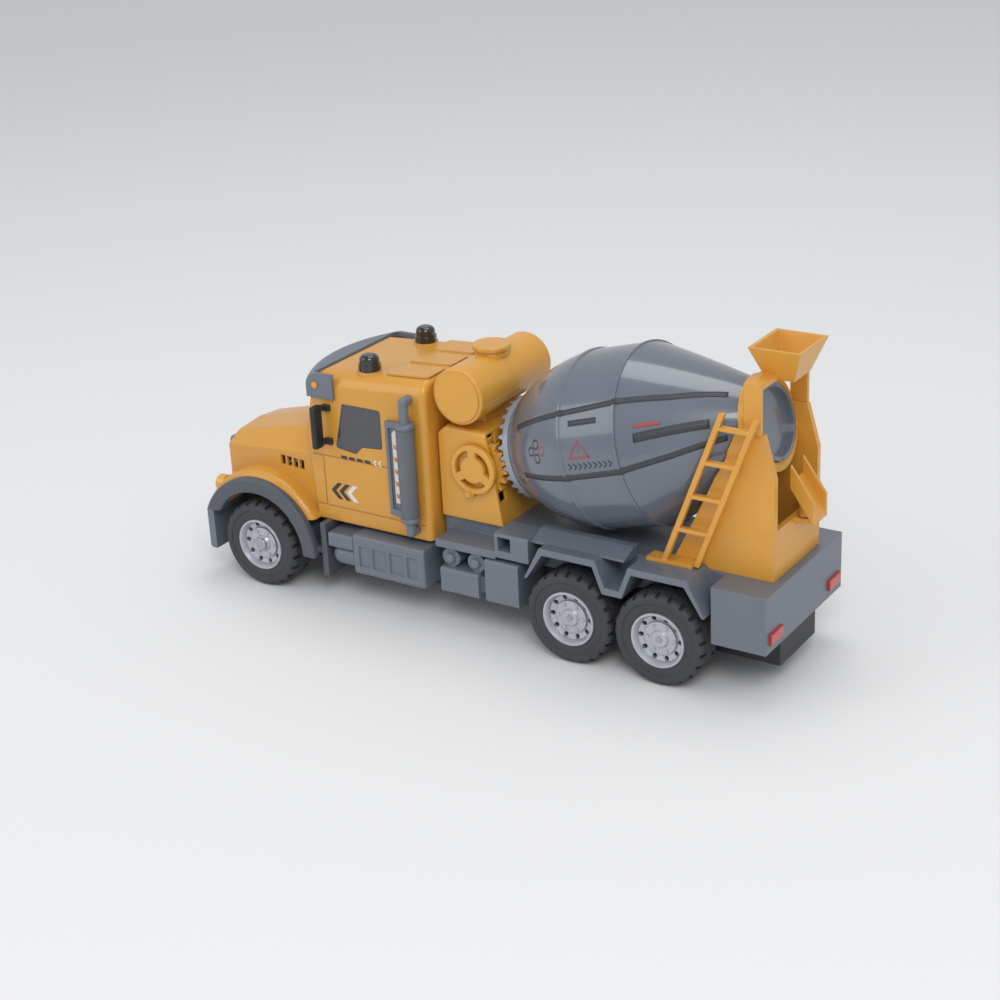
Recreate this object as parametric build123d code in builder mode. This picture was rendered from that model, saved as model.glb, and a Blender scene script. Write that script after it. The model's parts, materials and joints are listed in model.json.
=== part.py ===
# Toy cement mixer truck: a bonneted three-axle remote-control lorry with a turning drum.
# Frame: +X towards the bonnet, +Y to the driver's left, +Z up, millimetres.
# Origin: on the ground under the middle of the truck.
import math
import os

from build123d import *

os.makedirs("parts", exist_ok=True)

# ---- driving dimensions: wheels and where they stand
tyre_radius = 22.0
tyre_width = 17.0
track_over_tyres = 86.0
rim_radius = 13.2
rim_wall = 1.3
hub_radius = 4.4
axle_radius = 1.5
stub_radius = 2.0
running_gap = 0.05
front_axle_x = 122.0
wheelbase = 178.0
tandem_spacing = 45.5

# ---- driving dimensions: chassis
tray_floor_z = 10.0
tray_top_z = 36.0
tray_half_width = 18.0
wall = 1.8
deck_top_z = 52.0
deck_half_width = 24.0
deck_skin = 3.0
rear_overhang = 50.5
fender_half_width = 42.0
fender_skin = 3.2

# ---- driving dimensions: cab and bonnet
cab_half_width = 33.0
cab_length = 67.0
cab_back_x = 23.0
cab_floor_z = 40.0
roof_front_z = 115.0
roof_back_z = 119.0
bonnet_length = 61.0
bonnet_back_z = 85.5
bonnet_front_z = 71.0
bonnet_front_half_width = 25.0
bonnet_back_half_width = 31.0
arch_radius = 27.5
fender_radius = 37.5
flare_radius = 35.0
flare_width = 4.0

# ---- driving dimensions: drum and its drive
drum_tilt = 15.0
drum_radius = 41.0
drum_wall = 1.6
drum_mouth_radius = 17.0
crank_height = 79.0
drum_gear_module = 1.45
drum_pinion_teeth = 20
crown_teeth = 30
drum_face_width = 4.0
stub_shaft_radius = 3.0
box_half_width = 26.0
box_top_z = 97.0
box_wall = 1.6
box_lean = 10.0
front_cone_length = 39.0
belt_length = 30.0
rear_cone_length = 48.0
neck_length = 8.0
tank_radius = 13.4
tank_half_length = 30.0

# ---- driving dimensions: steering
kingpin_radius = 1.5
kingpin_y = 23.0
steer_arm = 12.0
steer_module = 0.8
steer_pinion_teeth = 10

# ---- driving dimensions: gearbox, battery and switch
gear_module = 1.0
axle_gear_teeth = 16
compound_large_teeth = 20
compound_small_teeth = 10
motor_pinion_teeth = 10
motor_radius = 9.0
cell_radius = 7.2
cell_length = 50.5
switch_travel = 3.0

# ---- places worked out from the dimensions above
axle_z = tyre_radius
tyre_outer_y = track_over_tyres / 2
tyre_inner_y = tyre_outer_y - tyre_width
rear_axle_x = front_axle_x - wheelbase
last_axle_x = rear_axle_x - tandem_spacing
deck_rear_x = last_axle_x - rear_overhang
cab_front_x = cab_back_x + cab_length
bonnet_front_x = cab_front_x + bonnet_length
box_front_x = cab_back_x - 2.0
crank_x = box_front_x - 20.0
drum_pinion_radius = drum_gear_module * drum_pinion_teeth / 2
crown_radius = drum_gear_module * crown_teeth / 2
lean = math.radians(drum_tilt)
drum_axis_dir = Vector(-math.cos(lean), 0, math.sin(lean))
drum_up_dir = Vector(math.sin(lean), 0, math.cos(lean))
crank_point = Vector(crank_x, 0, crank_height)
drum_axis = Axis(crank_point, drum_axis_dir)
drum_plane = Plane(origin=crank_point, x_dir=drum_axis_dir, z_dir=(0, 1, 0))


def drum_point(s, r=0.0):
    """Point s along the drum's axis from the crank, r above the axis, as (x, z)."""
    p = crank_point + drum_axis_dir * s + drum_up_dir * r
    return p.X, p.Z


def write(piece, label):
    piece.part.label = label
    export_step(piece.part, f"parts/{label}.step")


def side_plane(y):
    """Vertical plane at y, drawn in x and z; extrude by a negative amount goes to +Y."""
    return Plane.XZ.offset(-y)


def wheel_plane(x, side):
    """Plane through an axle: local x is outboard from the middle, local y is the radius."""
    return Plane(origin=(x, 0, axle_z), x_dir=(0, side, 0), z_dir=(side, 0, 0))


def box_between(low, high, mode=Mode.ADD):
    """A box from its lowest to its highest corner."""
    size = [b - a for a, b in zip(low, high)]
    with Locations(((low[0] + high[0]) / 2, (low[1] + high[1]) / 2, (low[2] + high[2]) / 2)):
        Box(*size, mode=mode)


# ---- involute gear teeth
pressure_angle = math.radians(25)
addendum_share = 0.8
dedendum_share = 1.15


def involute(angle):
    return math.tan(angle) - angle


def gear_sketch(teeth, module, play, first_tooth=0.0):
    """A spur gear's outline, centred on the sketch, with a tooth at angle first_tooth."""
    pitch = module * teeth / 2
    base = pitch * math.cos(pressure_angle)
    tip = pitch + addendum_share * module
    root = pitch - dedendum_share * module
    half_tooth = (math.pi * module / 2 - play) / (2 * pitch)
    radii = [root - 0.3] + [max(base, root) + (tip - max(base, root)) * k / 5 for k in range(6)]
    flank = []
    for radius in radii:
        at = math.acos(min(1.0, base / max(radius, base)))
        half = half_tooth + involute(pressure_angle) - involute(at)
        flank.append((radius * math.cos(half), radius * math.sin(half)))
    outline = flank + [(x, -y) for x, y in reversed(flank)]
    Circle(root)
    with PolarLocations(0, teeth, start_angle=first_tooth):
        Polygon(*outline, align=None)


# ---- wheels
tread_rows = 2
tread_blocks = 22
groove_width = 1.8
groove_depth = 1.3
shoulder = 2.4
web_y = tyre_outer_y - 3.6
web_skin = 1.6
hub_end_y = tyre_outer_y - 2.0
rim_hole_count = 10
rim_hole_ring = 9.7
lug_count = 6
lug_ring = 6.4


def add_tyre(axle_x, side):
    """Hollow-bored rubber tyre with blocks cut across both shoulders of its tread."""
    low = tyre_inner_y
    high = tyre_outer_y
    sidewall = tyre_radius - rim_radius
    tread_edge = tyre_radius - sidewall * 0.386
    tread_turn = tyre_radius - sidewall * 0.11
    with BuildSketch(wheel_plane(axle_x, side)) as section:
        with BuildLine():
            Polyline((low + 0.9, rim_radius), (low, rim_radius + sidewall * 0.3), (low, tread_edge))
            ThreePointArc(
                (low, tread_edge),
                (low + shoulder * 0.35, tread_turn),
                (low + shoulder + 0.6, tyre_radius),
            )
            Line((low + shoulder + 0.6, tyre_radius), (high - shoulder - 0.6, tyre_radius))
            ThreePointArc(
                (high - shoulder - 0.6, tyre_radius),
                (high - shoulder * 0.35, tread_turn),
                (high, tread_edge),
            )
            Polyline(
                (high, tread_edge),
                (high - 0.1, rim_radius + sidewall * 0.52),
                (high - 0.6, rim_radius + sidewall * 0.49),
                (high - 0.6, rim_radius + sidewall * 0.27),
                (high - 1.1, rim_radius),
                (low + 0.9, rim_radius),
            )
        make_face()
    revolve(section.sketch, axis=Axis((axle_x, 0, axle_z), (0, 1, 0)))
    row_length = tyre_width * 0.34
    for row in range(tread_rows):
        row_y = side * (tyre_inner_y + row_length / 2 + row * (tyre_width - row_length))
        turn = 180 / tread_blocks * row
        with Locations(Plane(origin=(axle_x, row_y, axle_z), x_dir=(1, 0, 0), z_dir=(0, 1, 0))):
            with PolarLocations(tyre_radius, tread_blocks, start_angle=turn):
                Box(2 * groove_depth, groove_width, row_length + 0.2, mode=Mode.SUBTRACT)


def add_rim(axle_x, side, bore_radius):
    """Plastic rim: barrel, raised lip, dished web with holes and lug nuts, and a hub."""
    low = tyre_inner_y + 0.9
    high = tyre_outer_y - 1.1
    with BuildSketch(wheel_plane(axle_x, side)) as section:
        with BuildLine():
            Polyline(
                (low, rim_radius),
                (high, rim_radius),
                (high + 0.7, rim_radius - 0.2),
                (high + 0.7, rim_radius - rim_wall + 0.2),
                (high - 0.4, rim_radius - rim_wall - 0.4),
                (web_y + 0.3, rim_radius - rim_wall - 1.2),
                (web_y - 0.6, rim_hole_ring - 2.4),
                (web_y + 0.4, lug_ring + 1.6),
                (web_y + 0.4, hub_radius),
                (hub_end_y, hub_radius - 0.8),
                (hub_end_y, bore_radius),
                (tyre_inner_y, bore_radius),
                (tyre_inner_y, hub_radius - 0.4),
                (web_y - web_skin, hub_radius + 0.4),
                (web_y - web_skin, rim_radius - rim_wall - 0.6),
                (low, rim_radius - rim_wall),
                (low, rim_radius),
            )
        make_face()
    revolve(section.sketch, axis=Axis((axle_x, 0, axle_z), (0, 1, 0)))
    outer_face = Plane(origin=(axle_x, side * web_y, axle_z), x_dir=(1, 0, 0), z_dir=(0, side, 0))
    with BuildSketch(outer_face) as holes:
        with PolarLocations(rim_hole_ring, rim_hole_count):
            Circle(1.15)
    extrude(holes.sketch, amount=2.5, both=True, mode=Mode.SUBTRACT)
    with BuildSketch(outer_face.offset(0.2)) as lugs:
        with PolarLocations(lug_ring, lug_count):
            RegularPolygon(0.95, 6)
    extrude(lugs.sketch, amount=1.0)


for corner, side in (("left", 1), ("right", -1)):
    with BuildPart() as front_tyre:
        add_tyre(front_axle_x, side)
    write(front_tyre, f"front_{corner}_tyre")
    with BuildPart() as front_rim:
        add_rim(front_axle_x, side, stub_radius + running_gap)
    write(front_rim, f"front_{corner}_rim")

for axle_name, axle_x in (("middle", rear_axle_x), ("rear", last_axle_x)):
    with BuildPart() as tyre_pair:
        add_tyre(axle_x, 1)
        add_tyre(axle_x, -1)
    write(tyre_pair, f"{axle_name}_tyres")
    with BuildPart() as rim_pair:
        add_rim(axle_x, 1, axle_radius)
        add_rim(axle_x, -1, axle_radius)
    write(rim_pair, f"{axle_name}_rims")
    with BuildPart() as steel_axle:
        with BuildSketch(side_plane(0)):
            with Locations((axle_x, axle_z)):
                Circle(axle_radius)
        extrude(amount=tyre_outer_y - 1.6, both=True)
    write(steel_axle, f"{axle_name}_axle")

# ---- rear gearbox: motor pinion, compound gear, axle gear
axle_gear_pitch = gear_module * axle_gear_teeth / 2
small_pitch = gear_module * compound_small_teeth / 2
large_pitch = gear_module * compound_large_teeth / 2
motor_pinion_pitch = gear_module * motor_pinion_teeth / 2
gear_play = 0.18
gear_face = 4.0
fine_y = 10.0
coarse_y = 4.0
compound_angle = 40.0
motor_angle = -20.0
compound_x = rear_axle_x + (axle_gear_pitch + small_pitch) * math.cos(math.radians(compound_angle))
compound_z = axle_z + (axle_gear_pitch + small_pitch) * math.sin(math.radians(compound_angle))
motor_x = compound_x + (large_pitch + motor_pinion_pitch) * math.cos(math.radians(motor_angle))
motor_z = compound_z + (large_pitch + motor_pinion_pitch) * math.sin(math.radians(motor_angle))
compound_shaft_radius = 1.5
motor_shaft_radius = 1.0
motor_body_y = -15.0
motor_nose_y = coarse_y - 0.8

with BuildPart() as axle_gear:
    with BuildSketch(side_plane(coarse_y)):
        with Locations((rear_axle_x, axle_z)):
            with Locations((0, 0)):
                gear_sketch(axle_gear_teeth, gear_module, gear_play, compound_angle)
            Circle(axle_radius, mode=Mode.SUBTRACT)
    extrude(amount=-gear_face)
write(axle_gear, "axle_gear")

with BuildPart() as compound_gear:
    with BuildSketch(side_plane(fine_y)):
        with Locations((compound_x, compound_z)):
            gear_sketch(compound_large_teeth, gear_module, gear_play, motor_angle)
    extrude(amount=-gear_face)
    with BuildSketch(side_plane(coarse_y)):
        with Locations((compound_x, compound_z)):
            gear_sketch(
                compound_small_teeth,
                gear_module,
                gear_play,
                compound_angle + 180 + 180 / compound_small_teeth,
            )
    extrude(amount=-(fine_y - coarse_y))
    with BuildSketch(side_plane(0)):
        with Locations((compound_x, compound_z)):
            Circle(compound_shaft_radius)
    extrude(amount=tray_half_width - 0.3, both=True)
write(compound_gear, "compound_gear")

with BuildPart() as motor_pinion:
    with BuildSketch(side_plane(fine_y)):
        with Locations((motor_x, motor_z)):
            gear_sketch(
                motor_pinion_teeth,
                gear_module,
                gear_play,
                motor_angle + 180 + 180 / motor_pinion_teeth,
            )
    extrude(amount=-gear_face)
    with BuildSketch(side_plane(motor_body_y + 4)):
        with Locations((motor_x, motor_z)):
            Circle(motor_shaft_radius)
    extrude(amount=-(fine_y - motor_body_y - 4 + gear_face))
write(motor_pinion, "motor_pinion")

with BuildPart() as drive_motor:
    with BuildSketch(side_plane(motor_body_y)):
        with Locations((motor_x, motor_z)):
            Circle(motor_radius)
    extrude(amount=-(motor_nose_y - motor_body_y))
    with BuildSketch(side_plane(motor_body_y + 3.5)):
        with Locations((motor_x, motor_z)):
            Circle(motor_shaft_radius + running_gap)
    extrude(amount=-(fine_y - motor_body_y), mode=Mode.SUBTRACT)
write(drive_motor, "drive_motor")

# ---- front axle: two steering knuckles, the rack that joins them and its motor
ear_radius = 2.6
ear_gap_half = 3.9
ear_height = 2.6
arm_x = front_axle_x - steer_arm
arm_thickness = 1.9
arm_half_width = 2.4
rack_pin_radius = 1.1
pin_slack = 0.2
rack_half_width = 2.0
rack_low_z = axle_z - ear_gap_half + arm_thickness + 0.3
rack_height = 3.0
steer_pinion_pitch = steer_module * steer_pinion_teeth / 2
rack_pitch_x = arm_x - rack_half_width - addendum_share * steer_module
steer_pinion_x = rack_pitch_x - steer_pinion_pitch
steer_play = 0.2
steer_motor_low_z = rack_low_z + rack_height + 1.2
steer_motor_height = 11.0
steer_motor_radius = 6.0

for corner, side in (("left", 1), ("right", -1)):
    pin_y = side * kingpin_y
    with BuildPart() as knuckle:
        with BuildSketch(Plane.XY.offset(axle_z)):
            with Locations((front_axle_x, pin_y)):
                Circle(kingpin_radius)
        extrude(amount=ear_gap_half + ear_height, both=True)
        with BuildSketch(Plane.XY.offset(axle_z)):
            with Locations((front_axle_x, pin_y)):
                Circle(ear_radius)
        extrude(amount=ear_gap_half - 0.15, both=True)
        with BuildSketch(side_plane(pin_y)):
            with Locations((front_axle_x, axle_z)):
                Circle(stub_radius)
        extrude(amount=-side * (tyre_outer_y - 1.9 - kingpin_y))
        with BuildSketch(Plane.XY.offset(axle_z - ear_gap_half + 0.15)):
            with Locations((front_axle_x - steer_arm / 2, pin_y)):
                SlotCenterToCenter(steer_arm, 2 * arm_half_width)
            with Locations((arm_x, pin_y)):
                SlotCenterToCenter(1.2, 2 * (rack_pin_radius + pin_slack), mode=Mode.SUBTRACT)
        extrude(amount=arm_thickness)
    write(knuckle, f"steering_knuckle_{corner}")

with BuildPart() as steering_rack:
    bar_half = kingpin_y + arm_half_width - 0.7
    box_between(
        (arm_x - rack_half_width, -bar_half, rack_low_z),
        (arm_x + rack_half_width, bar_half, rack_low_z + rack_height),
    )
    for side in (1, -1):
        with BuildSketch(Plane.XY.offset(rack_low_z)):
            with Locations((arm_x, side * kingpin_y)):
                Circle(rack_pin_radius)
        extrude(amount=-(arm_thickness + 1.2))
    rack_pitch = math.pi * steer_module
    half_at_pitch = rack_pitch / 4 - steer_play / 2
    root_in = dedendum_share * steer_module
    tip_out = addendum_share * steer_module
    slope = math.tan(pressure_angle)
    with BuildSketch(Plane.XY.offset(rack_low_z)):
        for tooth in range(-3, 4):
            with Locations((rack_pitch_x, (tooth + 0.5) * rack_pitch)):
                Polygon(
                    (tip_out + 0.4, half_at_pitch + tip_out * slope),
                    (tip_out, half_at_pitch + tip_out * slope),
                    (-tip_out, half_at_pitch - tip_out * slope),
                    (-tip_out, -half_at_pitch + tip_out * slope),
                    (tip_out, -half_at_pitch - tip_out * slope),
                    (tip_out + 0.4, -half_at_pitch - tip_out * slope),
                    align=None,
                )
    extrude(amount=rack_height)
    box_between(
        (arm_x - rack_half_width, -4 * rack_pitch, rack_low_z),
        (arm_x, 4 * rack_pitch, rack_low_z + rack_height),
    )
write(steering_rack, "steering_rack")

with BuildPart() as steering_pinion:
    with BuildSketch(Plane.XY.offset(rack_low_z)):
        with Locations((steer_pinion_x, 0)):
            gear_sketch(steer_pinion_teeth, steer_module, steer_play)
    extrude(amount=rack_height)
    with BuildSketch(Plane.XY.offset(rack_low_z + rack_height)):
        with Locations((steer_pinion_x, 0)):
            Circle(motor_shaft_radius)
    extrude(amount=steer_motor_height - 2)
write(steering_pinion, "steering_pinion")

with BuildPart() as steering_motor:
    with BuildSketch(Plane.XY.offset(steer_motor_low_z)):
        with Locations((steer_pinion_x, 0)):
            Circle(steer_motor_radius)
    extrude(amount=steer_motor_height)
    with BuildSketch(Plane.XY.offset(steer_motor_low_z)):
        with Locations((steer_pinion_x, 0)):
            Circle(motor_shaft_radius + running_gap)
    extrude(amount=steer_motor_height - 2, mode=Mode.SUBTRACT)
write(steering_motor, "steering_motor")

for corner, side in (("left", 1), ("right", -1)):
    with BuildPart() as wheel_screw:
        with BuildSketch(side_plane(side * (tyre_outer_y - 1.9))):
            with Locations((front_axle_x, axle_z)):
                Circle(3.2)
        extrude(amount=-side * 1.2)
        fillet(wheel_screw.faces().sort_by(Axis.Y)[-1 if side == 1 else 0].edges(), 0.6)
    write(wheel_screw, f"wheel_screw_{corner}")

# ---- battery compartment, receiver and switch
battery_back_x = motor_x + motor_radius + 4.0
battery_front_x = battery_back_x + 2 * cell_length + 3.0
cover_skin = wall
cover_half_width = 2 * cell_radius + 1.2
cover_gap = 0.1
cover_screw_x = battery_front_x + 4.0
cover_head_radius = 2.0
cover_head_height = 0.9
cover_head_room = 0.1

with BuildPart() as battery_cover:
    box_between(
        (battery_back_x - 2, -cover_half_width, tray_floor_z),
        (battery_front_x + 8, cover_half_width, tray_floor_z + cover_skin),
    )
    with BuildSketch(Plane.XY.offset(tray_floor_z)):
        with Locations((cover_screw_x, 0)):
            Circle(1.3)
    extrude(amount=cover_skin, mode=Mode.SUBTRACT)
    with BuildSketch(Plane.XY.offset(tray_floor_z)):
        with Locations((cover_screw_x, 0)):
            Circle(cover_head_radius + cover_head_room)
    extrude(amount=cover_head_height + cover_head_room, mode=Mode.SUBTRACT)
    with BuildSketch(Plane.XY.offset(tray_floor_z)):
        with Locations((battery_back_x + cell_length, 0)):
            with GridLocations(3.0, 1, 5, 1):
                Rectangle(1.4, 18)
    extrude(amount=0.6, mode=Mode.SUBTRACT)
write(battery_cover, "battery_cover")

with BuildPart() as batteries:
    for row in (0, 1):
        for side in (1, -1):
            start_x = battery_back_x + 1.2 + row * (cell_length + 0.6)
            with BuildSketch(Plane.YZ.offset(start_x)):
                with Locations((side * (cell_radius + 0.1), tray_floor_z + cover_skin + cell_radius + 0.1)):
                    Circle(cell_radius)
            extrude(amount=cell_length - 1.2)
            with BuildSketch(Plane.YZ.offset(start_x + cell_length - 1.2)):
                with Locations((side * (cell_radius + 0.1), tray_floor_z + cover_skin + cell_radius + 0.1)):
                    Circle(2.6)
            extrude(amount=1.0)
write(batteries, "batteries")

with BuildPart() as battery_contacts:
    for plate_x in (battery_back_x, battery_front_x - 0.6):
        for side in (1, -1):
            middle = side * (cell_radius + 0.1)
            box_between(
                (plate_x, middle - 5, tray_floor_z + cover_skin + 2),
                (plate_x + 0.5, middle + 5, tray_floor_z + cover_skin + 12),
            )
write(battery_contacts, "battery_contacts")

board_z = tray_floor_z + cover_skin + 2 * cell_radius + 2.4
with BuildPart() as receiver_board:
    box_between((battery_back_x + 30, -13, board_z), (battery_back_x + 72, 13, board_z + 1.2))
    box_between((battery_back_x + 38, -6, board_z + 1.2), (battery_back_x + 48, 4, board_z + 3.0))
    box_between((battery_back_x + 56, -9, board_z + 1.2), (battery_back_x + 60, 9, board_z + 5.0))
    with BuildSketch(Plane.XY.offset(board_z + 1.2)):
        with Locations((battery_back_x + 67, -5), (battery_back_x + 67, 5)):
            Circle(2.2)
    extrude(amount=4.5)
write(receiver_board, "receiver_board")

switch_x = front_axle_x + 8.0
knob_half = 1.6
with BuildPart() as power_switch_knob:
    box_between(
        (switch_x - knob_half, -2.0, tray_floor_z - 1.4),
        (switch_x + knob_half, 2.0, tray_floor_z + cover_skin + 1.4),
    )
write(power_switch_knob, "power_switch_knob")
with BuildPart() as power_switch_body:
    box_between(
        (switch_x - 6, -4.5, tray_floor_z + wall),
        (switch_x + switch_travel + 6, 4.5, tray_floor_z + wall + 6),
    )
    box_between(
        (switch_x - knob_half - 0.2, -2.2, tray_floor_z + wall),
        (switch_x + knob_half + switch_travel + 0.2, 2.2, tray_floor_z + wall + 2.2),
        mode=Mode.SUBTRACT,
    )
write(power_switch_body, "power_switch_body")

# ---- chassis tray: open box that carries axles, gearbox, batteries and steering
tail_skin = 3.0
tray_front_x = bonnet_front_x - 3.0
tray_back_x = deck_rear_x + tail_skin
axle_boss_radius = 3.6
axle_boss_y = tyre_inner_y - 0.6
screw_post_radius = 2.6
screw_hole_radius = 1.0
post_xs = (tray_front_x - 6, battery_front_x + 14, rear_axle_x - tandem_spacing / 2, tray_back_x + 10)
post_y = tray_half_width - wall - screw_post_radius + 0.6

with BuildPart() as chassis_tray:
    box_between(
        (tray_back_x, -tray_half_width, tray_floor_z), (tray_front_x, tray_half_width, tray_top_z)
    )
    box_between(
        (tray_back_x + wall, -tray_half_width + wall, tray_floor_z + wall),
        (tray_front_x - wall, tray_half_width - wall, tray_top_z),
        mode=Mode.SUBTRACT,
    )
    # end walls of the battery compartment and the opening under it
    for bulkhead_x in (battery_back_x - wall, battery_front_x):
        box_between(
            (bulkhead_x, -tray_half_width + wall, tray_floor_z + wall),
            (bulkhead_x + wall, tray_half_width - wall, board_z - 1),
        )
    box_between(
        (battery_back_x - 2 - cover_gap, -cover_half_width - cover_gap, tray_floor_z),
        (battery_front_x + 8 + cover_gap, cover_half_width + cover_gap, tray_floor_z + wall),
        mode=Mode.SUBTRACT,
    )
    # ledge above the cover that takes its screw
    box_between(
        (battery_front_x + wall, -6, tray_floor_z + cover_skin),
        (battery_front_x + 9, 6, tray_floor_z + cover_skin + 4),
    )
    with BuildSketch(Plane.XY.offset(tray_floor_z + cover_skin)):
        with Locations((cover_screw_x, 0)):
            Circle(screw_hole_radius)
    extrude(amount=4, mode=Mode.SUBTRACT)
    # bearing bosses of the two rear axles
    with BuildSketch(side_plane(0)):
        with Locations((rear_axle_x, axle_z), (last_axle_x, axle_z)):
            Circle(axle_boss_radius)
    extrude(amount=axle_boss_y, both=True)
    box_between(
        (tray_back_x + wall, -tray_half_width + wall, tray_floor_z + wall),
        (battery_back_x - wall, tray_half_width - wall, tray_top_z),
        mode=Mode.SUBTRACT,
    )
    with BuildSketch(side_plane(0)):
        with Locations((rear_axle_x, axle_z), (last_axle_x, axle_z)):
            Circle(axle_radius + running_gap)
        with Locations((compound_x, compound_z)):
            Circle(compound_shaft_radius + running_gap)
    extrude(amount=axle_boss_y, both=True, mode=Mode.SUBTRACT)
    # two saddle ribs under the drive motor
    for rib_y in (motor_body_y + 1, motor_nose_y - 3):
        box_between(
            (motor_x - motor_radius + 1, rib_y, tray_floor_z + wall),
            (motor_x + motor_radius - 1, rib_y + 2, motor_z - 3),
        )
    with BuildSketch(side_plane(motor_body_y)):
        with Locations((motor_x, motor_z)):
            Circle(motor_radius)
    extrude(amount=-(motor_nose_y - motor_body_y), mode=Mode.SUBTRACT)
    # forks that hold the kingpins
    for side in (1, -1):
        for ear_z in (axle_z + ear_gap_half, axle_z - ear_gap_half - ear_height):
            with BuildSketch(Plane.XY.offset(ear_z)):
                with Locations((front_axle_x, side * (tray_half_width - wall + kingpin_y) / 2)):
                    Rectangle(2 * ear_radius, kingpin_y - tray_half_width + wall)
                with Locations((front_axle_x, side * kingpin_y)):
                    Circle(ear_radius)
                    Circle(kingpin_radius + running_gap, mode=Mode.SUBTRACT)
            extrude(amount=ear_height)
    # windows in the side walls for the rack and, at full lock, for the ends of the knuckle arms
    box_between(
        (arm_x - rack_half_width - 0.3, -tray_half_width, rack_low_z - 0.3),
        (arm_x + rack_half_width + 0.3, tray_half_width, rack_low_z + rack_height + 0.3),
        mode=Mode.SUBTRACT,
    )
    box_between(
        (arm_x - arm_half_width - 0.4, -tray_half_width, axle_z - ear_gap_half - 0.2),
        (arm_x + 2 * arm_half_width, tray_half_width, rack_low_z),
        mode=Mode.SUBTRACT,
    )
    # cross bridge above the rack: the steering motor stands in it
    box_between(
        (steer_pinion_x - 8, -tray_half_width + wall, steer_motor_low_z),
        (steer_pinion_x + 8, tray_half_width - wall, steer_motor_low_z + 3),
    )
    with BuildSketch(Plane.XY.offset(steer_motor_low_z)):
        with Locations((steer_pinion_x, 0)):
            Circle(steer_motor_radius)
    extrude(amount=3, mode=Mode.SUBTRACT)
    # slot for the switch knob
    box_between(
        (switch_x - knob_half - 0.2, -2.2, tray_floor_z),
        (switch_x + knob_half + switch_travel + 0.2, 2.2, tray_floor_z + wall),
        mode=Mode.SUBTRACT,
    )
    # screw posts up to the upper chassis
    with BuildSketch(Plane.XY.offset(tray_floor_z)):
        for post_x in post_xs:
            with Locations((post_x, post_y), (post_x, -post_y)):
                Circle(screw_post_radius)
    extrude(amount=tray_top_z - tray_floor_z)
    with BuildSketch(Plane.XY.offset(tray_floor_z)):
        for post_x in post_xs:
            with Locations((post_x, post_y), (post_x, -post_y)):
                Circle(screw_hole_radius)
    extrude(amount=tray_top_z - tray_floor_z, mode=Mode.SUBTRACT)
    with BuildSketch(Plane.XY.offset(tray_floor_z)):
        for post_x in post_xs:
            with Locations((post_x, post_y), (post_x, -post_y)):
                Circle(1.9)
    extrude(amount=1.4, mode=Mode.SUBTRACT)
write(chassis_tray, "chassis_tray")

with BuildPart() as screws:
    with BuildSketch(Plane.XY.offset(tray_floor_z + 0.2)):
        for post_x in post_xs:
            with Locations((post_x, post_y), (post_x, -post_y)):
                Circle(1.9)
    extrude(amount=1.2)
    with BuildSketch(Plane.XY.offset(tray_floor_z + 1.4)):
        for post_x in post_xs:
            with Locations((post_x, post_y), (post_x, -post_y)):
                Circle(screw_hole_radius)
    extrude(amount=tray_top_z - tray_floor_z - 1.4 + 2)
    with BuildSketch(Plane.XY.offset(tray_floor_z + cover_head_room)):
        with Locations((cover_screw_x, 0)):
            Circle(cover_head_radius)
    extrude(amount=cover_head_height)
    with BuildSketch(Plane.XY.offset(tray_floor_z + cover_head_room + cover_head_height)):
        with Locations((cover_screw_x, 0)):
            Circle(screw_hole_radius)
    extrude(amount=cover_skin + 4 - cover_head_room - cover_head_height)
write(screws, "screws")

# ---- upper chassis: deck with double-arch fenders behind the cab, flat rails under the cab
fender_top_z = deck_top_z + 1.8
fender_flat = 13.0
fender_foot_z = 37.5
valley_z = 41.5
step_back_x = crank_x - 35.0
step_front_x = crank_x - 17.0
step_half_width = 39.0
step_top_z = deck_top_z + 3.0
shelf_z = 44.0
tail_front_x = last_axle_x - 24.5
kerb_rise = 5.0
kerb_foot_y = 36.0
kerb_top_y = 27.0
kerb_inner_y = 23.2
kerb_back_x = rear_axle_x - 26.0
rail_half_width = 26.0


def fender_band(outer):
    """Side outline of the two flat-topped arches; outer is how far the band stands out."""
    top = fender_top_z - fender_skin + outer
    run = outer * 0.42
    dip = valley_z - fender_skin + outer
    front_foot = rear_axle_x + fender_flat + 8.5 + run
    rear_foot = last_axle_x - fender_flat - 8.5 - run
    middle = (rear_axle_x + last_axle_x) / 2
    return [
        (front_foot, fender_foot_z),
        (rear_axle_x + fender_flat + run, top),
        (rear_axle_x - fender_flat - run, top),
        (middle + 5.0 - run, dip),
        (middle - 5.0 + run, dip),
        (last_axle_x + fender_flat + run, top),
        (last_axle_x - fender_flat - run, top),
        (rear_foot, fender_foot_z),
    ]


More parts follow.
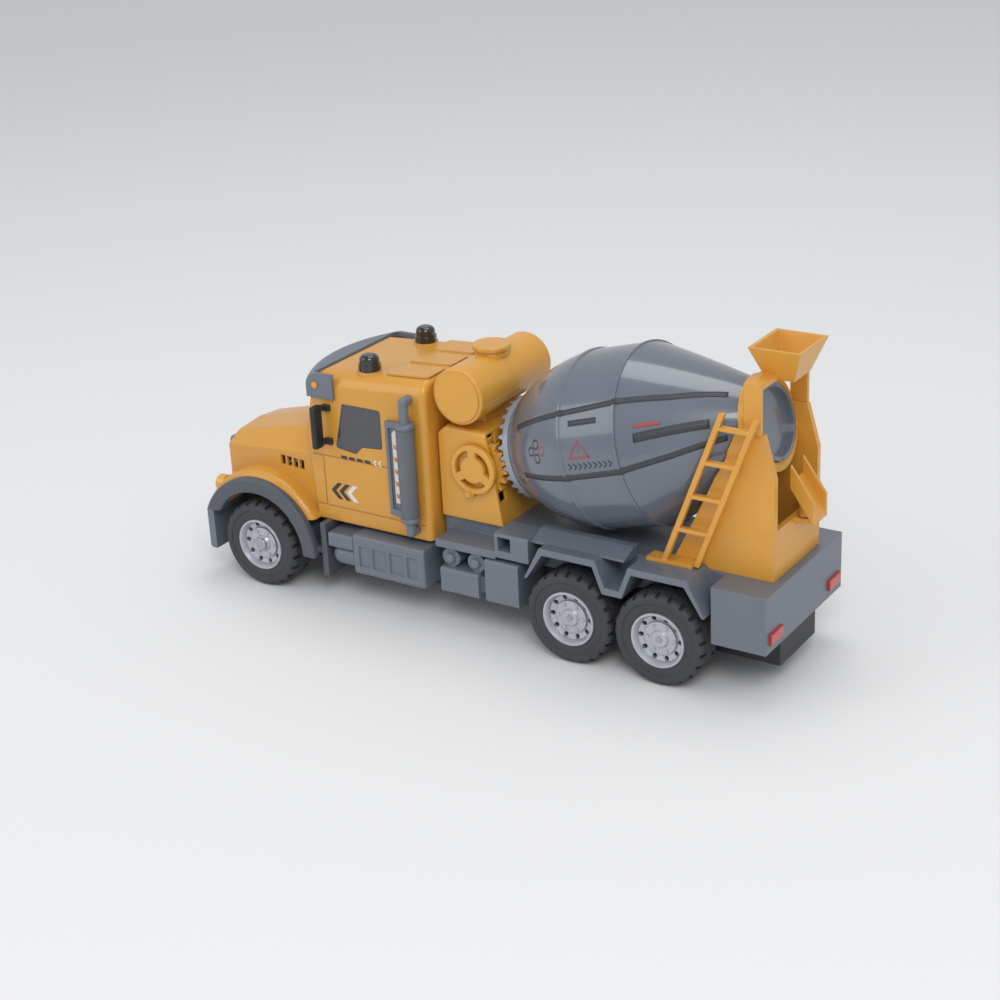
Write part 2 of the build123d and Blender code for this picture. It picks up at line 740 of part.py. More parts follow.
with BuildPart() as upper_chassis:
    # deck slab and its skirts down to the tray
    box_between(
        (deck_rear_x, -deck_half_width, deck_top_z - deck_skin),
        (box_front_x, deck_half_width, deck_top_z),
    )
    box_between(
        (deck_rear_x, -deck_half_width, tray_top_z), (box_front_x, deck_half_width, deck_top_z - deck_skin)
    )
    box_between(
        (deck_rear_x + deck_skin, -deck_half_width + deck_skin, tray_top_z),
        (box_front_x - deck_skin, deck_half_width - deck_skin, deck_top_z - deck_skin),
        mode=Mode.SUBTRACT,
    )
    # raised step across the deck behind the drum's drive, with a square hole through each end
    box_between((step_back_x, -step_half_width, shelf_z - 1), (step_front_x, step_half_width, step_top_z))
    box_between(
        (step_back_x - 1, -deck_half_width + deck_skin, tray_top_z),
        (step_front_x + 1, deck_half_width - deck_skin, deck_top_z - deck_skin),
        mode=Mode.SUBTRACT,
    )
    fillet(upper_chassis.edges().filter_by(Axis.X).group_by(Axis.Z)[-1], 1.2)
    box_between(
        (step_front_x - 8.5, -step_half_width, step_top_z - 8.5),
        (step_front_x - 1.6, step_half_width, step_top_z - 1.6),
        mode=Mode.SUBTRACT,
    )
    box_between(
        (step_front_x - 10, -deck_half_width, tray_top_z),
        (step_front_x, deck_half_width, deck_top_z),
    )
    # the drum turns low over the middle of the step
    box_between(
        (step_back_x - 1, -kerb_inner_y, deck_top_z),
        (step_front_x + 1, kerb_inner_y, step_top_z + 1),
        Mode.SUBTRACT,
    )
    # shelf beside the drum's drive
    for side in (1, -1):
        low_y, high_y = sorted((side * deck_half_width, side * step_half_width))
        box_between((step_front_x, low_y, shelf_z), (box_front_x - 4, high_y, shelf_z + 1.6))
        rim_low, rim_high = sorted((side * (step_half_width - 1.4), side * step_half_width))
        box_between((step_front_x, rim_low, shelf_z - 2.2), (box_front_x - 4, rim_high, shelf_z + 1.6))
    # kerbs that slope up from the fenders to the deck's edges
    for side in (1, -1):
        with BuildSketch(Plane.YZ.offset(kerb_back_x)):
            Polygon(
                (side * kerb_inner_y, deck_top_z - 1),
                (side * kerb_inner_y, deck_top_z + kerb_rise),
                (side * kerb_top_y, deck_top_z + kerb_rise),
                (side * kerb_foot_y, fender_top_z),
                (side * kerb_foot_y, fender_top_z - 1),
                (side * kerb_top_y, deck_top_z - 1),
                align=None,
            )
        extrude(amount=step_back_x - kerb_back_x)
    # double-arch fenders
    for side in (1, -1):
        with BuildSketch(side_plane(side * (deck_half_width - 1))):
            Polygon(*fender_band(fender_skin), *reversed(fender_band(0)), align=None)
        extrude(amount=-side * (fender_half_width - deck_half_width + 1))
    # tail crossbeam with flanks behind the rear wheels
    box_between((deck_rear_x, -step_half_width, 25.0), (deck_rear_x + tail_skin, step_half_width, deck_top_z))
    for side in (1, -1):
        low_y, high_y = sorted((side * (step_half_width - 2), side * step_half_width))
        box_between((deck_rear_x, low_y, 25.0), (tail_front_x, high_y, deck_top_z))
        cheek_low, cheek_high = sorted((side * deck_half_width, side * step_half_width))
        box_between(
            (deck_rear_x, cheek_low, deck_top_z - deck_skin), (tail_front_x, cheek_high, deck_top_z)
        )
    # flat rails and cross plate under the cab and bonnet
    box_between(
        (box_front_x, -rail_half_width, tray_top_z), (cab_front_x - 6, rail_half_width, cab_floor_z)
    )
    box_between(
        (cab_front_x - 6, -tray_half_width, tray_top_z), (tray_front_x, tray_half_width, cab_floor_z)
    )
    box_between(
        (box_front_x + 3, -tray_half_width + wall, tray_top_z),
        (tray_front_x - wall, tray_half_width - wall, cab_floor_z - 1.4),
        mode=Mode.SUBTRACT,
    )
    # clearance for the screws that come up through the posts
    with BuildSketch(Plane.XY.offset(tray_top_z)):
        for post_x in post_xs:
            with Locations((post_x, post_y), (post_x, -post_y)):
                Circle(screw_hole_radius)
    extrude(amount=2, mode=Mode.SUBTRACT)
write(upper_chassis, "upper_chassis")

# ---- cab and bonnet: one moulded shell
windscreen_base = (cab_front_x + 3.0, 84.0)
windscreen_top = (cab_front_x - 3.5, roof_front_z - 1.5)
roof_slope = (roof_back_z - roof_front_z) / (windscreen_top[0] - 3 - cab_back_x)
roof_round = 9.0
belt_line_z = 73.0
seam_width = 0.7
seam_depth = 0.5
door_front_x = cab_back_x + 61.0
door_low_z = 47.0
vent_front_x = cab_back_x + 92.0
vent_pitch = 4.2
vent_low_z = 61.5
vent_high_z = 66.5
fender_half = 39.5
headlight_radius = 4.4
headlight_y = 33.5
headlight_z = 47.0
headlight_back_x = front_axle_x + 25.0
headlight_depth = 5.0
roof_length = windscreen_top[0] - 3 - cab_back_x
roof_plane = Plane(
    origin=((windscreen_top[0] - 3 + cab_back_x) / 2, 0, (roof_front_z + roof_back_z) / 2),
    x_dir=(-roof_length, 0, roof_back_z - roof_front_z),
    z_dir=(roof_back_z - roof_front_z, 0, roof_length),
)
beacon_radius = 5.4
beacon_height = 7.6
beacon_x = cab_back_x + 37.0
beacon_y = 23.0
beacon_z = roof_front_z + roof_slope * (windscreen_top[0] - 3 - beacon_x) + 0.6


def cab_outline(inset):
    """Side outline of the cab, drawn in x and z."""
    return [
        (cab_back_x + inset, cab_floor_z),
        (cab_front_x - inset, cab_floor_z),
        (windscreen_base[0] - inset, windscreen_base[1]),
        (windscreen_top[0] - inset, windscreen_top[1] - inset * 0.6),
        (windscreen_top[0] - 3 - inset, roof_front_z - inset),
        (cab_back_x + inset, roof_back_z - inset),
    ]


def bonnet_section(inset, half_width, crease_z, top_z, flat):
    """Cross-section of the bonnet: flat crown, sloped shoulders and upright flanks."""
    return [
        (-half_width + inset, cab_floor_z),
        (half_width - inset, cab_floor_z),
        (half_width - inset, crease_z - inset * 0.5),
        (flat, top_z - 1.5 - inset),
        (0, top_z - inset),
        (-flat, top_z - 1.5 - inset),
        (-half_width + inset, crease_z - inset * 0.5),
    ]


def add_bonnet(inset, mode=Mode.ADD):
    """Bonnet lofted from the bulkhead to the grille, widening and rising towards the cab."""
    with BuildSketch(Plane.YZ.offset(cab_front_x - 2)) as back:
        Polygon(*bonnet_section(inset, bonnet_back_half_width, 72.0, bonnet_back_z, 19.0), align=None)
    with BuildSketch(Plane.YZ.offset(bonnet_front_x - inset)) as front:
        Polygon(
            *bonnet_section(inset, bonnet_front_half_width, 65.0, bonnet_front_z, 16.0), align=None
        )
    loft([back.sketch.face(), front.sketch.face()], ruled=True, mode=mode)


window_low_z = 80.0
window_high_z = 101.5
window_back_x = cab_back_x + 25.5
window_front_x = cab_back_x + 53.5
window_outline = (
    (window_back_x, window_high_z),
    (window_front_x - 5.8, window_high_z),
    (window_front_x, window_low_z - 1.5),
    (window_front_x - 12.0, window_low_z - 3.0),
    (window_front_x - 16.0, window_low_z + 1.0),
    (window_back_x, window_low_z + 2.0),
)
screen_half_width = cab_half_width - 6.0
screen_centre = (
    (windscreen_base[0] + windscreen_top[0]) / 2,
    0,
    (windscreen_base[1] + windscreen_top[1]) / 2,
)
screen_slope = Vector(
    windscreen_top[0] - windscreen_base[0], 0, windscreen_top[1] - windscreen_base[1]
)
screen_height = screen_slope.length - 7.0
screen_plane = Plane(
    origin=screen_centre, x_dir=(0, 1, 0), z_dir=Vector(0, 1, 0).cross(screen_slope.normalized())
)


def roof_side_edges(piece):
    """The two long edges where the roof meets the cab's sides."""
    return piece.edges().filter_by(
        lambda e: abs(e.tangent_at(0.5).Y) < 0.1
        and e.length > cab_length / 2
        and e.center().Z > roof_front_z - 3
    )


with BuildPart() as cab_hollow:
    with BuildSketch(Plane.XZ):
        Polygon(*cab_outline(wall), align=None)
    extrude(amount=cab_half_width - wall, both=True)
    fillet(roof_side_edges(cab_hollow), roof_round - wall)
    add_bonnet(wall)

with BuildPart() as cab_body:
    with BuildSketch(Plane.XZ):
        Polygon(*cab_outline(0), align=None)
    extrude(amount=cab_half_width, both=True)
    fillet(roof_side_edges(cab_body), roof_round)
    back_corners = cab_body.edges().filter_by(Axis.Z).group_by(Axis.X)[0]
    fillet(back_corners, 3.0)
    add_bonnet(0)
    # front fenders either side of the bonnet
    with BuildSketch(Plane.XZ) as fender_side:
        with Locations((front_axle_x, axle_z)):
            Circle(fender_radius)
        with Locations((front_axle_x, cab_floor_z - fender_radius)):
            Rectangle(4 * fender_radius, 2 * fender_radius, mode=Mode.SUBTRACT)
    extrude(amount=fender_half, both=True)
    fillet(
        cab_body.edges()
        .filter_by(GeomType.CIRCLE)
        .filter_by(lambda e: abs(e.radius - fender_radius) < 0.01 and abs(e.center().Y) > fender_half - 0.1),
        3.5,
    )
    # the fenders stand clear of the grille
    box_between(
        (bonnet_front_x, -bonnet_front_half_width - 1, cab_floor_z - 1),
        (bonnet_front_x + fender_radius, bonnet_front_half_width + 1, roof_front_z),
        mode=Mode.SUBTRACT,
    )
    # pads for the beacons
    with BuildSketch(Plane.XY.offset(beacon_z - 2)):
        with Locations((beacon_x, beacon_y), (beacon_x, -beacon_y)):
            Circle(beacon_radius + 0.7)
    extrude(amount=2)
    add(cab_hollow.part, mode=Mode.SUBTRACT)
    # pockets for the headlights
    with BuildSketch(Plane.YZ.offset(headlight_back_x)):
        with Locations((headlight_y, headlight_z), (-headlight_y, headlight_z)):
            Circle(headlight_radius)
    extrude(amount=fender_radius, mode=Mode.SUBTRACT)
    # wheel wells
    with BuildSketch(Plane.XZ) as well:
        with Locations((front_axle_x, axle_z)):
            Circle(arch_radius)
    extrude(amount=fender_half + 5, both=True, mode=Mode.SUBTRACT)
    # windows
    with BuildSketch(Plane.XZ) as side_window:
        Polygon(*window_outline, align=None)
        fillet(side_window.vertices(), 1.6)
    extrude(amount=cab_half_width + 1, both=True, mode=Mode.SUBTRACT)
    with BuildSketch(screen_plane) as screen:
        RectangleRounded(2 * screen_half_width, screen_height, 3)
    extrude(amount=wall + 3, both=True, mode=Mode.SUBTRACT)
    # door seams, belt line and vents in the bonnet's flanks
    for side in (1, -1):
        seam_low, seam_high = sorted((side * (cab_half_width - seam_depth), side * (cab_half_width + 1)))
        box_between(
            (cab_back_x + 14, seam_low, belt_line_z),
            (cab_front_x, seam_high, belt_line_z + seam_width),
            Mode.SUBTRACT,
        )
        box_between(
            (door_front_x, seam_low, door_low_z),
            (door_front_x + seam_width, seam_high, belt_line_z),
            Mode.SUBTRACT,
        )
        box_between(
            (cab_back_x + 4, seam_low, door_low_z),
            (cab_front_x, seam_high, door_low_z + seam_width),
            Mode.SUBTRACT,
        )
        for slot in range(4):
            vent_x = vent_front_x - slot * vent_pitch
            vent_low, vent_high = sorted((side * (bonnet_front_half_width + 1), side * cab_half_width))
            box_between((vent_x - 3.0, vent_low, vent_low_z), (vent_x, vent_high, vent_high_z), Mode.SUBTRACT)
    # raised panels pressed into the roof
    for panel in (-1, 0, 1):
        with BuildSketch(roof_plane):
            with Locations((roof_length * 0.28, panel * 19.0)):
                RectangleRounded(roof_length * 0.4, 15.0, 2.0)
        extrude(amount=0.8)
write(cab_body, "cab_body")

# ---- dark panes behind the side windows and the windscreen
pane_skin = 1.2
pane_gap = 0.05
with BuildPart() as cab_windows:
    for side in (1, -1):
        with BuildSketch(side_plane(side * (cab_half_width - 0.5 - pane_skin))) as pane:
            Polygon(*window_outline, align=None)
            fillet(pane.vertices(), 1.6)
            offset(amount=-pane_gap)
        extrude(amount=-side * pane_skin)
    with BuildSketch(screen_plane.offset(-0.4)) as screen_pane:
        RectangleRounded(2 * (screen_half_width - pane_gap), screen_height - 2 * pane_gap, 3)
    extrude(amount=-pane_skin)
write(cab_windows, "cab_windows")

# ---- sun visor over the windscreen, with its marker lamps
visor_half_width = cab_half_width + 1.6
visor_high_z = roof_front_z + 0.5
visor_low_z = roof_front_z - 12.0
visor_back_x = windscreen_top[0] - 12.0
visor_side_x = windscreen_top[0] + 3.5
visor_nose_x = windscreen_top[0] + 13.0
visor_skin = 1.5


with BuildPart() as visor_hollow:
    with BuildSketch(Plane.XY.offset(visor_low_z - 1)):
        with BuildLine():
            ThreePointArc(
                (visor_side_x - visor_skin, -visor_half_width + visor_skin),
                (visor_nose_x - visor_skin, 0),
                (visor_side_x - visor_skin, visor_half_width - visor_skin),
            )
            Polyline(
                (visor_side_x - visor_skin, visor_half_width - visor_skin),
                (visor_back_x, visor_half_width - visor_skin),
                (visor_back_x, -visor_half_width + visor_skin),
                (visor_side_x - visor_skin, -visor_half_width + visor_skin),
            )
        make_face()
    extrude(amount=visor_high_z - visor_low_z - visor_skin)
    fillet(visor_hollow.faces().sort_by(Axis.Z)[-1].edges().sort_by(Axis.X)[-1], 5.0)

with BuildPart() as cab_envelope:
    with BuildSketch(Plane.XZ):
        Polygon(*cab_outline(0), align=None)
    extrude(amount=cab_half_width, both=True)
    fillet(roof_side_edges(cab_envelope), roof_round)

with BuildPart() as sun_visor:
    with BuildSketch(Plane.XY.offset(visor_low_z)):
        with BuildLine():
            ThreePointArc(
                (visor_side_x, -visor_half_width), (visor_nose_x, 0), (visor_side_x, visor_half_width)
            )
            Polyline(
                (visor_side_x, visor_half_width),
                (visor_back_x, visor_half_width),
                (visor_back_x, -visor_half_width),
                (visor_side_x, -visor_half_width),
            )
        make_face()
    extrude(amount=visor_high_z - visor_low_z)
    fillet(sun_visor.faces().sort_by(Axis.Z)[-1].edges().sort_by(Axis.X)[-1], 6.5)
    add(visor_hollow.part, mode=Mode.SUBTRACT)
    add(cab_envelope.part, mode=Mode.SUBTRACT)
    box_between(
        (visor_back_x - 1, -cab_half_width, visor_low_z - 1),
        (windscreen_top[0] - 1.0, cab_half_width, visor_high_z + 1),
        mode=Mode.SUBTRACT,
    )
write(sun_visor, "sun_visor")

marker_radius = 1.6
with BuildPart() as marker_lamps:
    for side in (1, -1):
        with BuildSketch(side_plane(side * visor_half_width)):
            with Locations((windscreen_top[0] - 2.0, roof_front_z - 5.5)):
                Circle(marker_radius)
        extrude(amount=-side * 0.8)
write(marker_lamps, "marker_lamps")

# ---- roof beacons
with BuildPart() as roof_beacons:
    for side in (1, -1):
        with BuildSketch(Plane.XY.offset(beacon_z)):
            with Locations((beacon_x, side * beacon_y)):
                Circle(beacon_radius)
        extrude(amount=beacon_height * 0.4)
        with BuildSketch(Plane.XY.offset(beacon_z)):
            with Locations((beacon_x, side * beacon_y)):
                Circle(beacon_radius - 0.7)
        extrude(amount=beacon_height)
    crowns = roof_beacons.faces().filter_by(Axis.Z).filter_by(lambda f: f.center().Z > beacon_z + 6)
    fillet(crowns.edges(), 2.6)
write(roof_beacons, "roof_beacons")

# ---- grille, bumper and headlights
grille_half_width = 21.5
grille_low_z = cab_floor_z - 1.0
grille_high_z = bonnet_front_z - 4.0
grille_depth = 2.6
grille_bars = 6
bumper_half_width = 42.0
bumper_low_z = 14.0
bumper_high_z = 36.0
bumper_depth = 7.5
with BuildPart() as grille:
    with BuildSketch(Plane.YZ.offset(bonnet_front_x)):
        with Locations((0, (grille_low_z + grille_high_z) / 2)):
            RectangleRounded(2 * grille_half_width, grille_high_z - grille_low_z, 2.0)
    extrude(amount=grille_depth)
    fillet(grille.faces().sort_by(Axis.X)[-1].edges(), 0.8)
    with BuildSketch(Plane.YZ.offset(bonnet_front_x + 0.8)):
        with Locations((0, (grille_low_z + grille_high_z) / 2)):
            Rectangle(2 * grille_half_width - 5, grille_high_z - grille_low_z - 5)
            bar_step = (grille_high_z - grille_low_z - 5) / grille_bars
            with GridLocations(1, bar_step, 1, grille_bars):
                Rectangle(2 * grille_half_width - 5, bar_step * 0.45, mode=Mode.SUBTRACT)
    extrude(amount=grille_depth, mode=Mode.SUBTRACT)
write(grille, "grille")

bumper_back_x = bonnet_front_x
bumper_front_x = bumper_back_x + bumper_depth
with BuildPart() as front_bumper:
    with BuildSketch(Plane.XY.offset(bumper_low_z)):
        with BuildLine():
            ThreePointArc(
                (bumper_back_x + bumper_depth - 3.5, -bumper_half_width),
                (bumper_back_x + bumper_depth, 0),
                (bumper_back_x + bumper_depth - 3.5, bumper_half_width),
            )
            Polyline(
                (bumper_back_x + bumper_depth - 3.5, bumper_half_width),
                (bumper_back_x, bumper_half_width),
                (bumper_back_x, -bumper_half_width),
                (bumper_back_x + bumper_depth - 3.5, -bumper_half_width),
            )
        make_face()
    extrude(amount=bumper_high_z - bumper_low_z)
    chamfer(front_bumper.edges().filter_by(GeomType.CIRCLE), 1.0)
    with BuildSketch(Plane.YZ.offset(bumper_back_x + bumper_depth - 4.5)):
        for side in (1, -1):
            with Locations((side * 29, (bumper_low_z + bumper_high_z) / 2)):
                with GridLocations(1, 4.2, 1, 4):
                    SlotOverall(16, 2.0)
        with Locations((0, (bumper_low_z + bumper_high_z) / 2)):
            Rectangle(22, 10)
    extrude(amount=9, mode=Mode.SUBTRACT)
    box_between(
        (bumper_back_x + 1, -10.2, (bumper_low_z + bumper_high_z) / 2 - 4.2),
        (bumper_back_x + bumper_depth - 1.2, 10.2, (bumper_low_z + bumper_high_z) / 2 + 4.2),
    )
write(front_bumper, "front_bumper")

with BuildPart() as headlights:
    for side in (1, -1):
        with BuildSketch(Plane.YZ.offset(headlight_back_x)):
            with Locations((side * headlight_y, headlight_z)):
                Circle(headlight_radius - pane_gap)
        extrude(amount=headlight_depth)
    fillet(headlights.faces().sort_by(Axis.X)[-2:].edges(), 1.2)
write(headlights, "headlights")

# ---- dark flares over the front wheels and the mudguards behind them
flare_inner = arch_radius
flare_low_z = 22.0
mudguard_low_z = 12.0
with BuildPart() as fender_flare_left:
    with BuildSketch(side_plane(fender_half)):
        with Locations((front_axle_x, axle_z)):
            Circle(flare_radius)
            Circle(flare_inner, mode=Mode.SUBTRACT)
        with Locations((front_axle_x, flare_low_z - flare_radius)):
            Rectangle(4 * flare_radius, 2 * flare_radius, mode=Mode.SUBTRACT)
        with Locations((front_axle_x + 2 * flare_radius, bumper_high_z - flare_radius)):
            Rectangle(4 * flare_radius, 2 * flare_radius, mode=Mode.SUBTRACT)
    extrude(amount=-flare_width)
    fillet(
        fender_flare_left.faces().sort_by(Axis.Y)[-1].edges().filter_by(GeomType.CIRCLE), 1.4
    )
    with BuildSketch(side_plane(rail_half_width + 2)):
        with Locations((front_axle_x, axle_z)):
            Circle(flare_inner + 3.0)
            Circle(flare_inner, mode=Mode.SUBTRACT)
        with Locations((front_axle_x, cab_floor_z + flare_radius)):
            Rectangle(4 * flare_radius, 2 * flare_radius, mode=Mode.SUBTRACT)
        with Locations((front_axle_x, flare_low_z - flare_radius)):
            Rectangle(4 * flare_radius, 2 * flare_radius, mode=Mode.SUBTRACT)
        with Locations((front_axle_x + 2 * flare_radius, bumper_high_z - flare_radius)):
            Rectangle(4 * flare_radius, 2 * flare_radius, mode=Mode.SUBTRACT)
    extrude(amount=-(fender_half + flare_width - 0.5 - rail_half_width - 2))
    box_between(
        (front_axle_x - flare_radius - 5.0, rail_half_width, mudguard_low_z),
        (front_axle_x - flare_radius - 2.0, fender_half, cab_floor_z),
    )
    box_between(
        (front_axle_x - flare_radius - 4.0, rail_half_width, flare_low_z + 2),
        (front_axle_x - flare_inner - 2.0, fender_half, flare_low_z + 5),
    )
write(fender_flare_left, "fender_flare_left")
with BuildPart() as fender_flare_right:
    mirror(fender_flare_left.part, about=Plane.XZ)
write(fender_flare_right, "fender_flare_right")

# ---- door mirrors
mirror_x = cab_front_x - 8.0
mirror_low_z = window_low_z - 0.5
mirror_high_z = window_high_z - 1.0
with BuildPart() as door_mirrors:
    with BuildSketch(Plane.XY.offset(mirror_low_z)):
        with Locations((mirror_x, cab_half_width + 6.0)):
            RectangleRounded(3.4, 6.4, 1.4)
    extrude(amount=mirror_high_z - mirror_low_z)
    fillet(door_mirrors.edges().group_by(Axis.Z)[-1] + door_mirrors.edges().group_by(Axis.Z)[0], 0.8)
    for arm_z in (mirror_low_z + 0.5, mirror_high_z - 3.5):
        box_between(
            (mirror_x - 4.5, cab_half_width, arm_z), (mirror_x - 0.5, cab_half_width + 1.8, arm_z + 3.0)
        )
        box_between(
            (mirror_x - 2.2, cab_half_width + 0.4, arm_z + 0.6),
            (mirror_x + 0.8, cab_half_width + 4.0, arm_z + 2.4),
        )
    mirror(about=Plane.XZ)
write(door_mirrors, "door_mirrors")

# ---- exhaust stacks with their heat shields
stack_x = cab_back_x + 8.5
stack_radius = 4.1
stack_y = cab_half_width + stack_radius + 0.4
stack_low_z = 50.0
stack_high_z = 100.0
pipe_radius = 2.3
with BuildPart() as exhaust_stacks:
    with BuildSketch(Plane.XY.offset(stack_low_z)):
        with Locations((stack_x, stack_y)):
            Circle(stack_radius)
    extrude(amount=stack_high_z - stack_low_z)
    fillet(exhaust_stacks.edges().filter_by(GeomType.CIRCLE), 1.2)
    with BuildSketch(Plane.XY.offset(stack_low_z - 5)):
        with Locations((stack_x, stack_y)):
            Circle(pipe_radius)
    extrude(amount=stack_high_z - stack_low_z + 15)
    # elbow at the top and hook at the bottom turn in to the cab
    for end_z in (stack_high_z + 10.0, stack_low_z - 5.0):
        with BuildSketch(side_plane(cab_half_width)):
            with Locations((stack_x, end_z)):
                Circle(pipe_radius)
        extrude(amount=-(stack_y - cab_half_width))
        with Locations((stack_x, stack_y, end_z)):
            Sphere(pipe_radius)
    # shield plate with a sunk panel
    box_between(
        (stack_x + 2.0, cab_half_width, stack_low_z + 1),
        (stack_x + 13.0, cab_half_width + 2.4, stack_high_z - 2),
    )
    box_between(
        (stack_x + 5.2, cab_half_width + 1.2, stack_low_z + 4),
        (stack_x + 11.4, cab_half_width + 2.4, stack_high_z - 5),
        mode=Mode.SUBTRACT,
    )
    mirror(about=Plane.XZ)
write(exhaust_stacks, "exhaust_stacks")

# ---- side tanks and boxes
side_outer_y = 40.0
tank_low_z = 17.5
tank_high_z = 38.0
step_tank_back_x = cab_back_x + 1.0
step_tank_front_x = cab_back_x + 43.0
air_tank_radius = 5.2
with BuildPart() as step_tanks:
    box_between(
        (step_tank_back_x, tray_half_width, tank_low_z), (step_tank_front_x, side_outer_y, tray_top_z)
    )
    box_between(
        (step_tank_back_x, rail_half_width, tray_top_z), (step_tank_front_x, side_outer_y, tank_high_z)
    )
    fillet(step_tanks.edges().filter_by(Axis.X).group_by(Axis.Y)[-1], 1.8)
    fillet(step_tanks.edges().filter_by(Axis.Z).group_by(Axis.Y)[-1], 1.5)
    box_between(
        (step_tank_back_x + 4, side_outer_y - 0.8, tank_low_z + 4.5),
        (step_tank_front_x - 4, side_outer_y + 1, tank_high_z - 5.5),
        mode=Mode.SUBTRACT,
    )
    for rib in range(3):
        rib_x = step_tank_back_x + 10 + rib * (step_tank_front_x - step_tank_back_x - 22) / 2
        box_between(
            (rib_x, side_outer_y - 1.5, tank_low_z + 4),
            (rib_x + 2, side_outer_y, tank_high_z - 5),
        )
    mirror(about=Plane.XZ)
write(step_tanks, "step_tanks")

with BuildPart() as air_tanks:
    box_between(
        (step_tank_front_x, tray_half_width, 28.5), (step_tank_front_x + 14.5, side_outer_y - 0.5, tray_top_z)
    )
    fillet(air_tanks.edges().filter_by(Axis.X).group_by(Axis.Y)[-1], 1.2)
    with BuildSketch(Plane.YZ.offset(step_tank_front_x)):
        with Locations((side_outer_y - 1.5 - air_tank_radius, 28.9 - air_tank_radius)):
            Circle(air_tank_radius)
    extrude(amount=10.0)
    with Locations((step_tank_front_x + 10.0, side_outer_y - 1.5 - air_tank_radius, 28.9 - air_tank_radius)):
        Sphere(air_tank_radius)
    box_between(
        (step_tank_front_x, tray_half_width, 20),
        (step_tank_front_x + 12, side_outer_y - 1.5 - air_tank_radius, 28.5),
    )
    mirror(about=Plane.XZ)
write(air_tanks, "air_tanks")

side_box_front_x = box_front_x - 6.5
with BuildPart() as side_boxes:
    box_between((side_box_front_x - 21, tray_half_width, 19.5), (side_box_front_x, side_outer_y, 32.0))
    for inner_y, low_z, high_z in (
        (tray_half_width, 19.5, tray_top_z),
        (deck_half_width, tray_top_z, shelf_z - 3),
    ):
        box_between(
            (side_box_front_x - 43, inner_y, low_z),
            (side_box_front_x - 25, side_outer_y, high_z),
        )
    box_between((side_box_front_x - 25, tray_half_width, 22), (side_box_front_x - 21, side_outer_y - 3, 30.0))
    fillet(side_boxes.edges().filter_by(Axis.X).group_by(Axis.Y)[-1], 1.4)
    for dome in (0, 1):
        dome_x = side_box_front_x - 4.5 - dome * 14.0
        with BuildSketch(side_plane(deck_half_width)):
            with Locations((dome_x, 36.5)):
                Circle(4.7)
        extrude(amount=-(side_outer_y - 3.0 - deck_half_width))
        with BuildSketch(side_plane(side_outer_y - 3.2)):
            with Locations((dome_x, 36.5)):
                Circle(2.6)
        extrude(amount=-2.6)
    knobs = side_boxes.faces().filter_by(Axis.Y).filter_by(lambda f: abs(f.area - math.pi * 2.6**2) < 0.5)
    fillet(knobs.edges(), 1.8)
    mirror(about=Plane.XZ)
write(side_boxes, "side_boxes")

# ---- water tank across the back of the cab, with its hatch
tank_x = box_front_x - 14.7
tank_z = box_top_z + 17.0
tank_cap = 1.2
hatch_radius = 9.0
hatch_height = 3.4
with BuildPart() as water_tank:
    with BuildSketch(side_plane(0)):
        with Locations((tank_x, tank_z)):
            Circle(tank_radius)
    extrude(amount=tank_half_length, both=True)
    fillet(water_tank.edges().filter_by(GeomType.CIRCLE), 1.0)
    with BuildSketch(side_plane(0)):
        with Locations((tank_x, tank_z)):
            Circle(tank_radius - 1.6)
    extrude(amount=tank_half_length + tank_cap - 0.4, both=True)
    # saddle down to the drive housing
    box_between((tank_x - 4, -14, box_top_z), (tank_x + 6, 14, tank_z))
    with BuildSketch(Plane.XY.offset(tank_z + tank_radius - 2)):
        with Locations((tank_x, 0)):
            Circle(hatch_radius - 1.0)
    extrude(amount=3.2)
write(water_tank, "water_tank")

with BuildPart() as tank_hatch:
    with BuildSketch(Plane.XY.offset(tank_z + tank_radius + 1.2)):
        with Locations((tank_x, 0)):
            Circle(hatch_radius)
    extrude(amount=hatch_height - 1.2)
    fillet(tank_hatch.edges().group_by(Axis.Z)[-1], 0.8)
write(tank_hatch, "tank_hatch")

# ---- housing of the drum's drive, with its front bearing
box_back_top_x = box_front_x - 25.7
box_back_low_x = box_back_top_x - (box_top_z - deck_top_z) * math.tan(math.radians(box_lean))
bearing_radius = 7.0
bearing_length = 7.0
crown_tip = addendum_share * drum_gear_module
bearing_end_s = drum_pinion_radius - crown_tip - 0.6


def housing_outline(inset):
    return [
        (box_front_x - inset, deck_top_z),
        (box_front_x - inset, box_top_z - 4 - inset * 0.6),
        (box_front_x - 4 - inset * 0.6, box_top_z - inset),
        (box_back_top_x + inset, box_top_z - inset),
        (box_back_low_x + inset, deck_top_z),
    ]


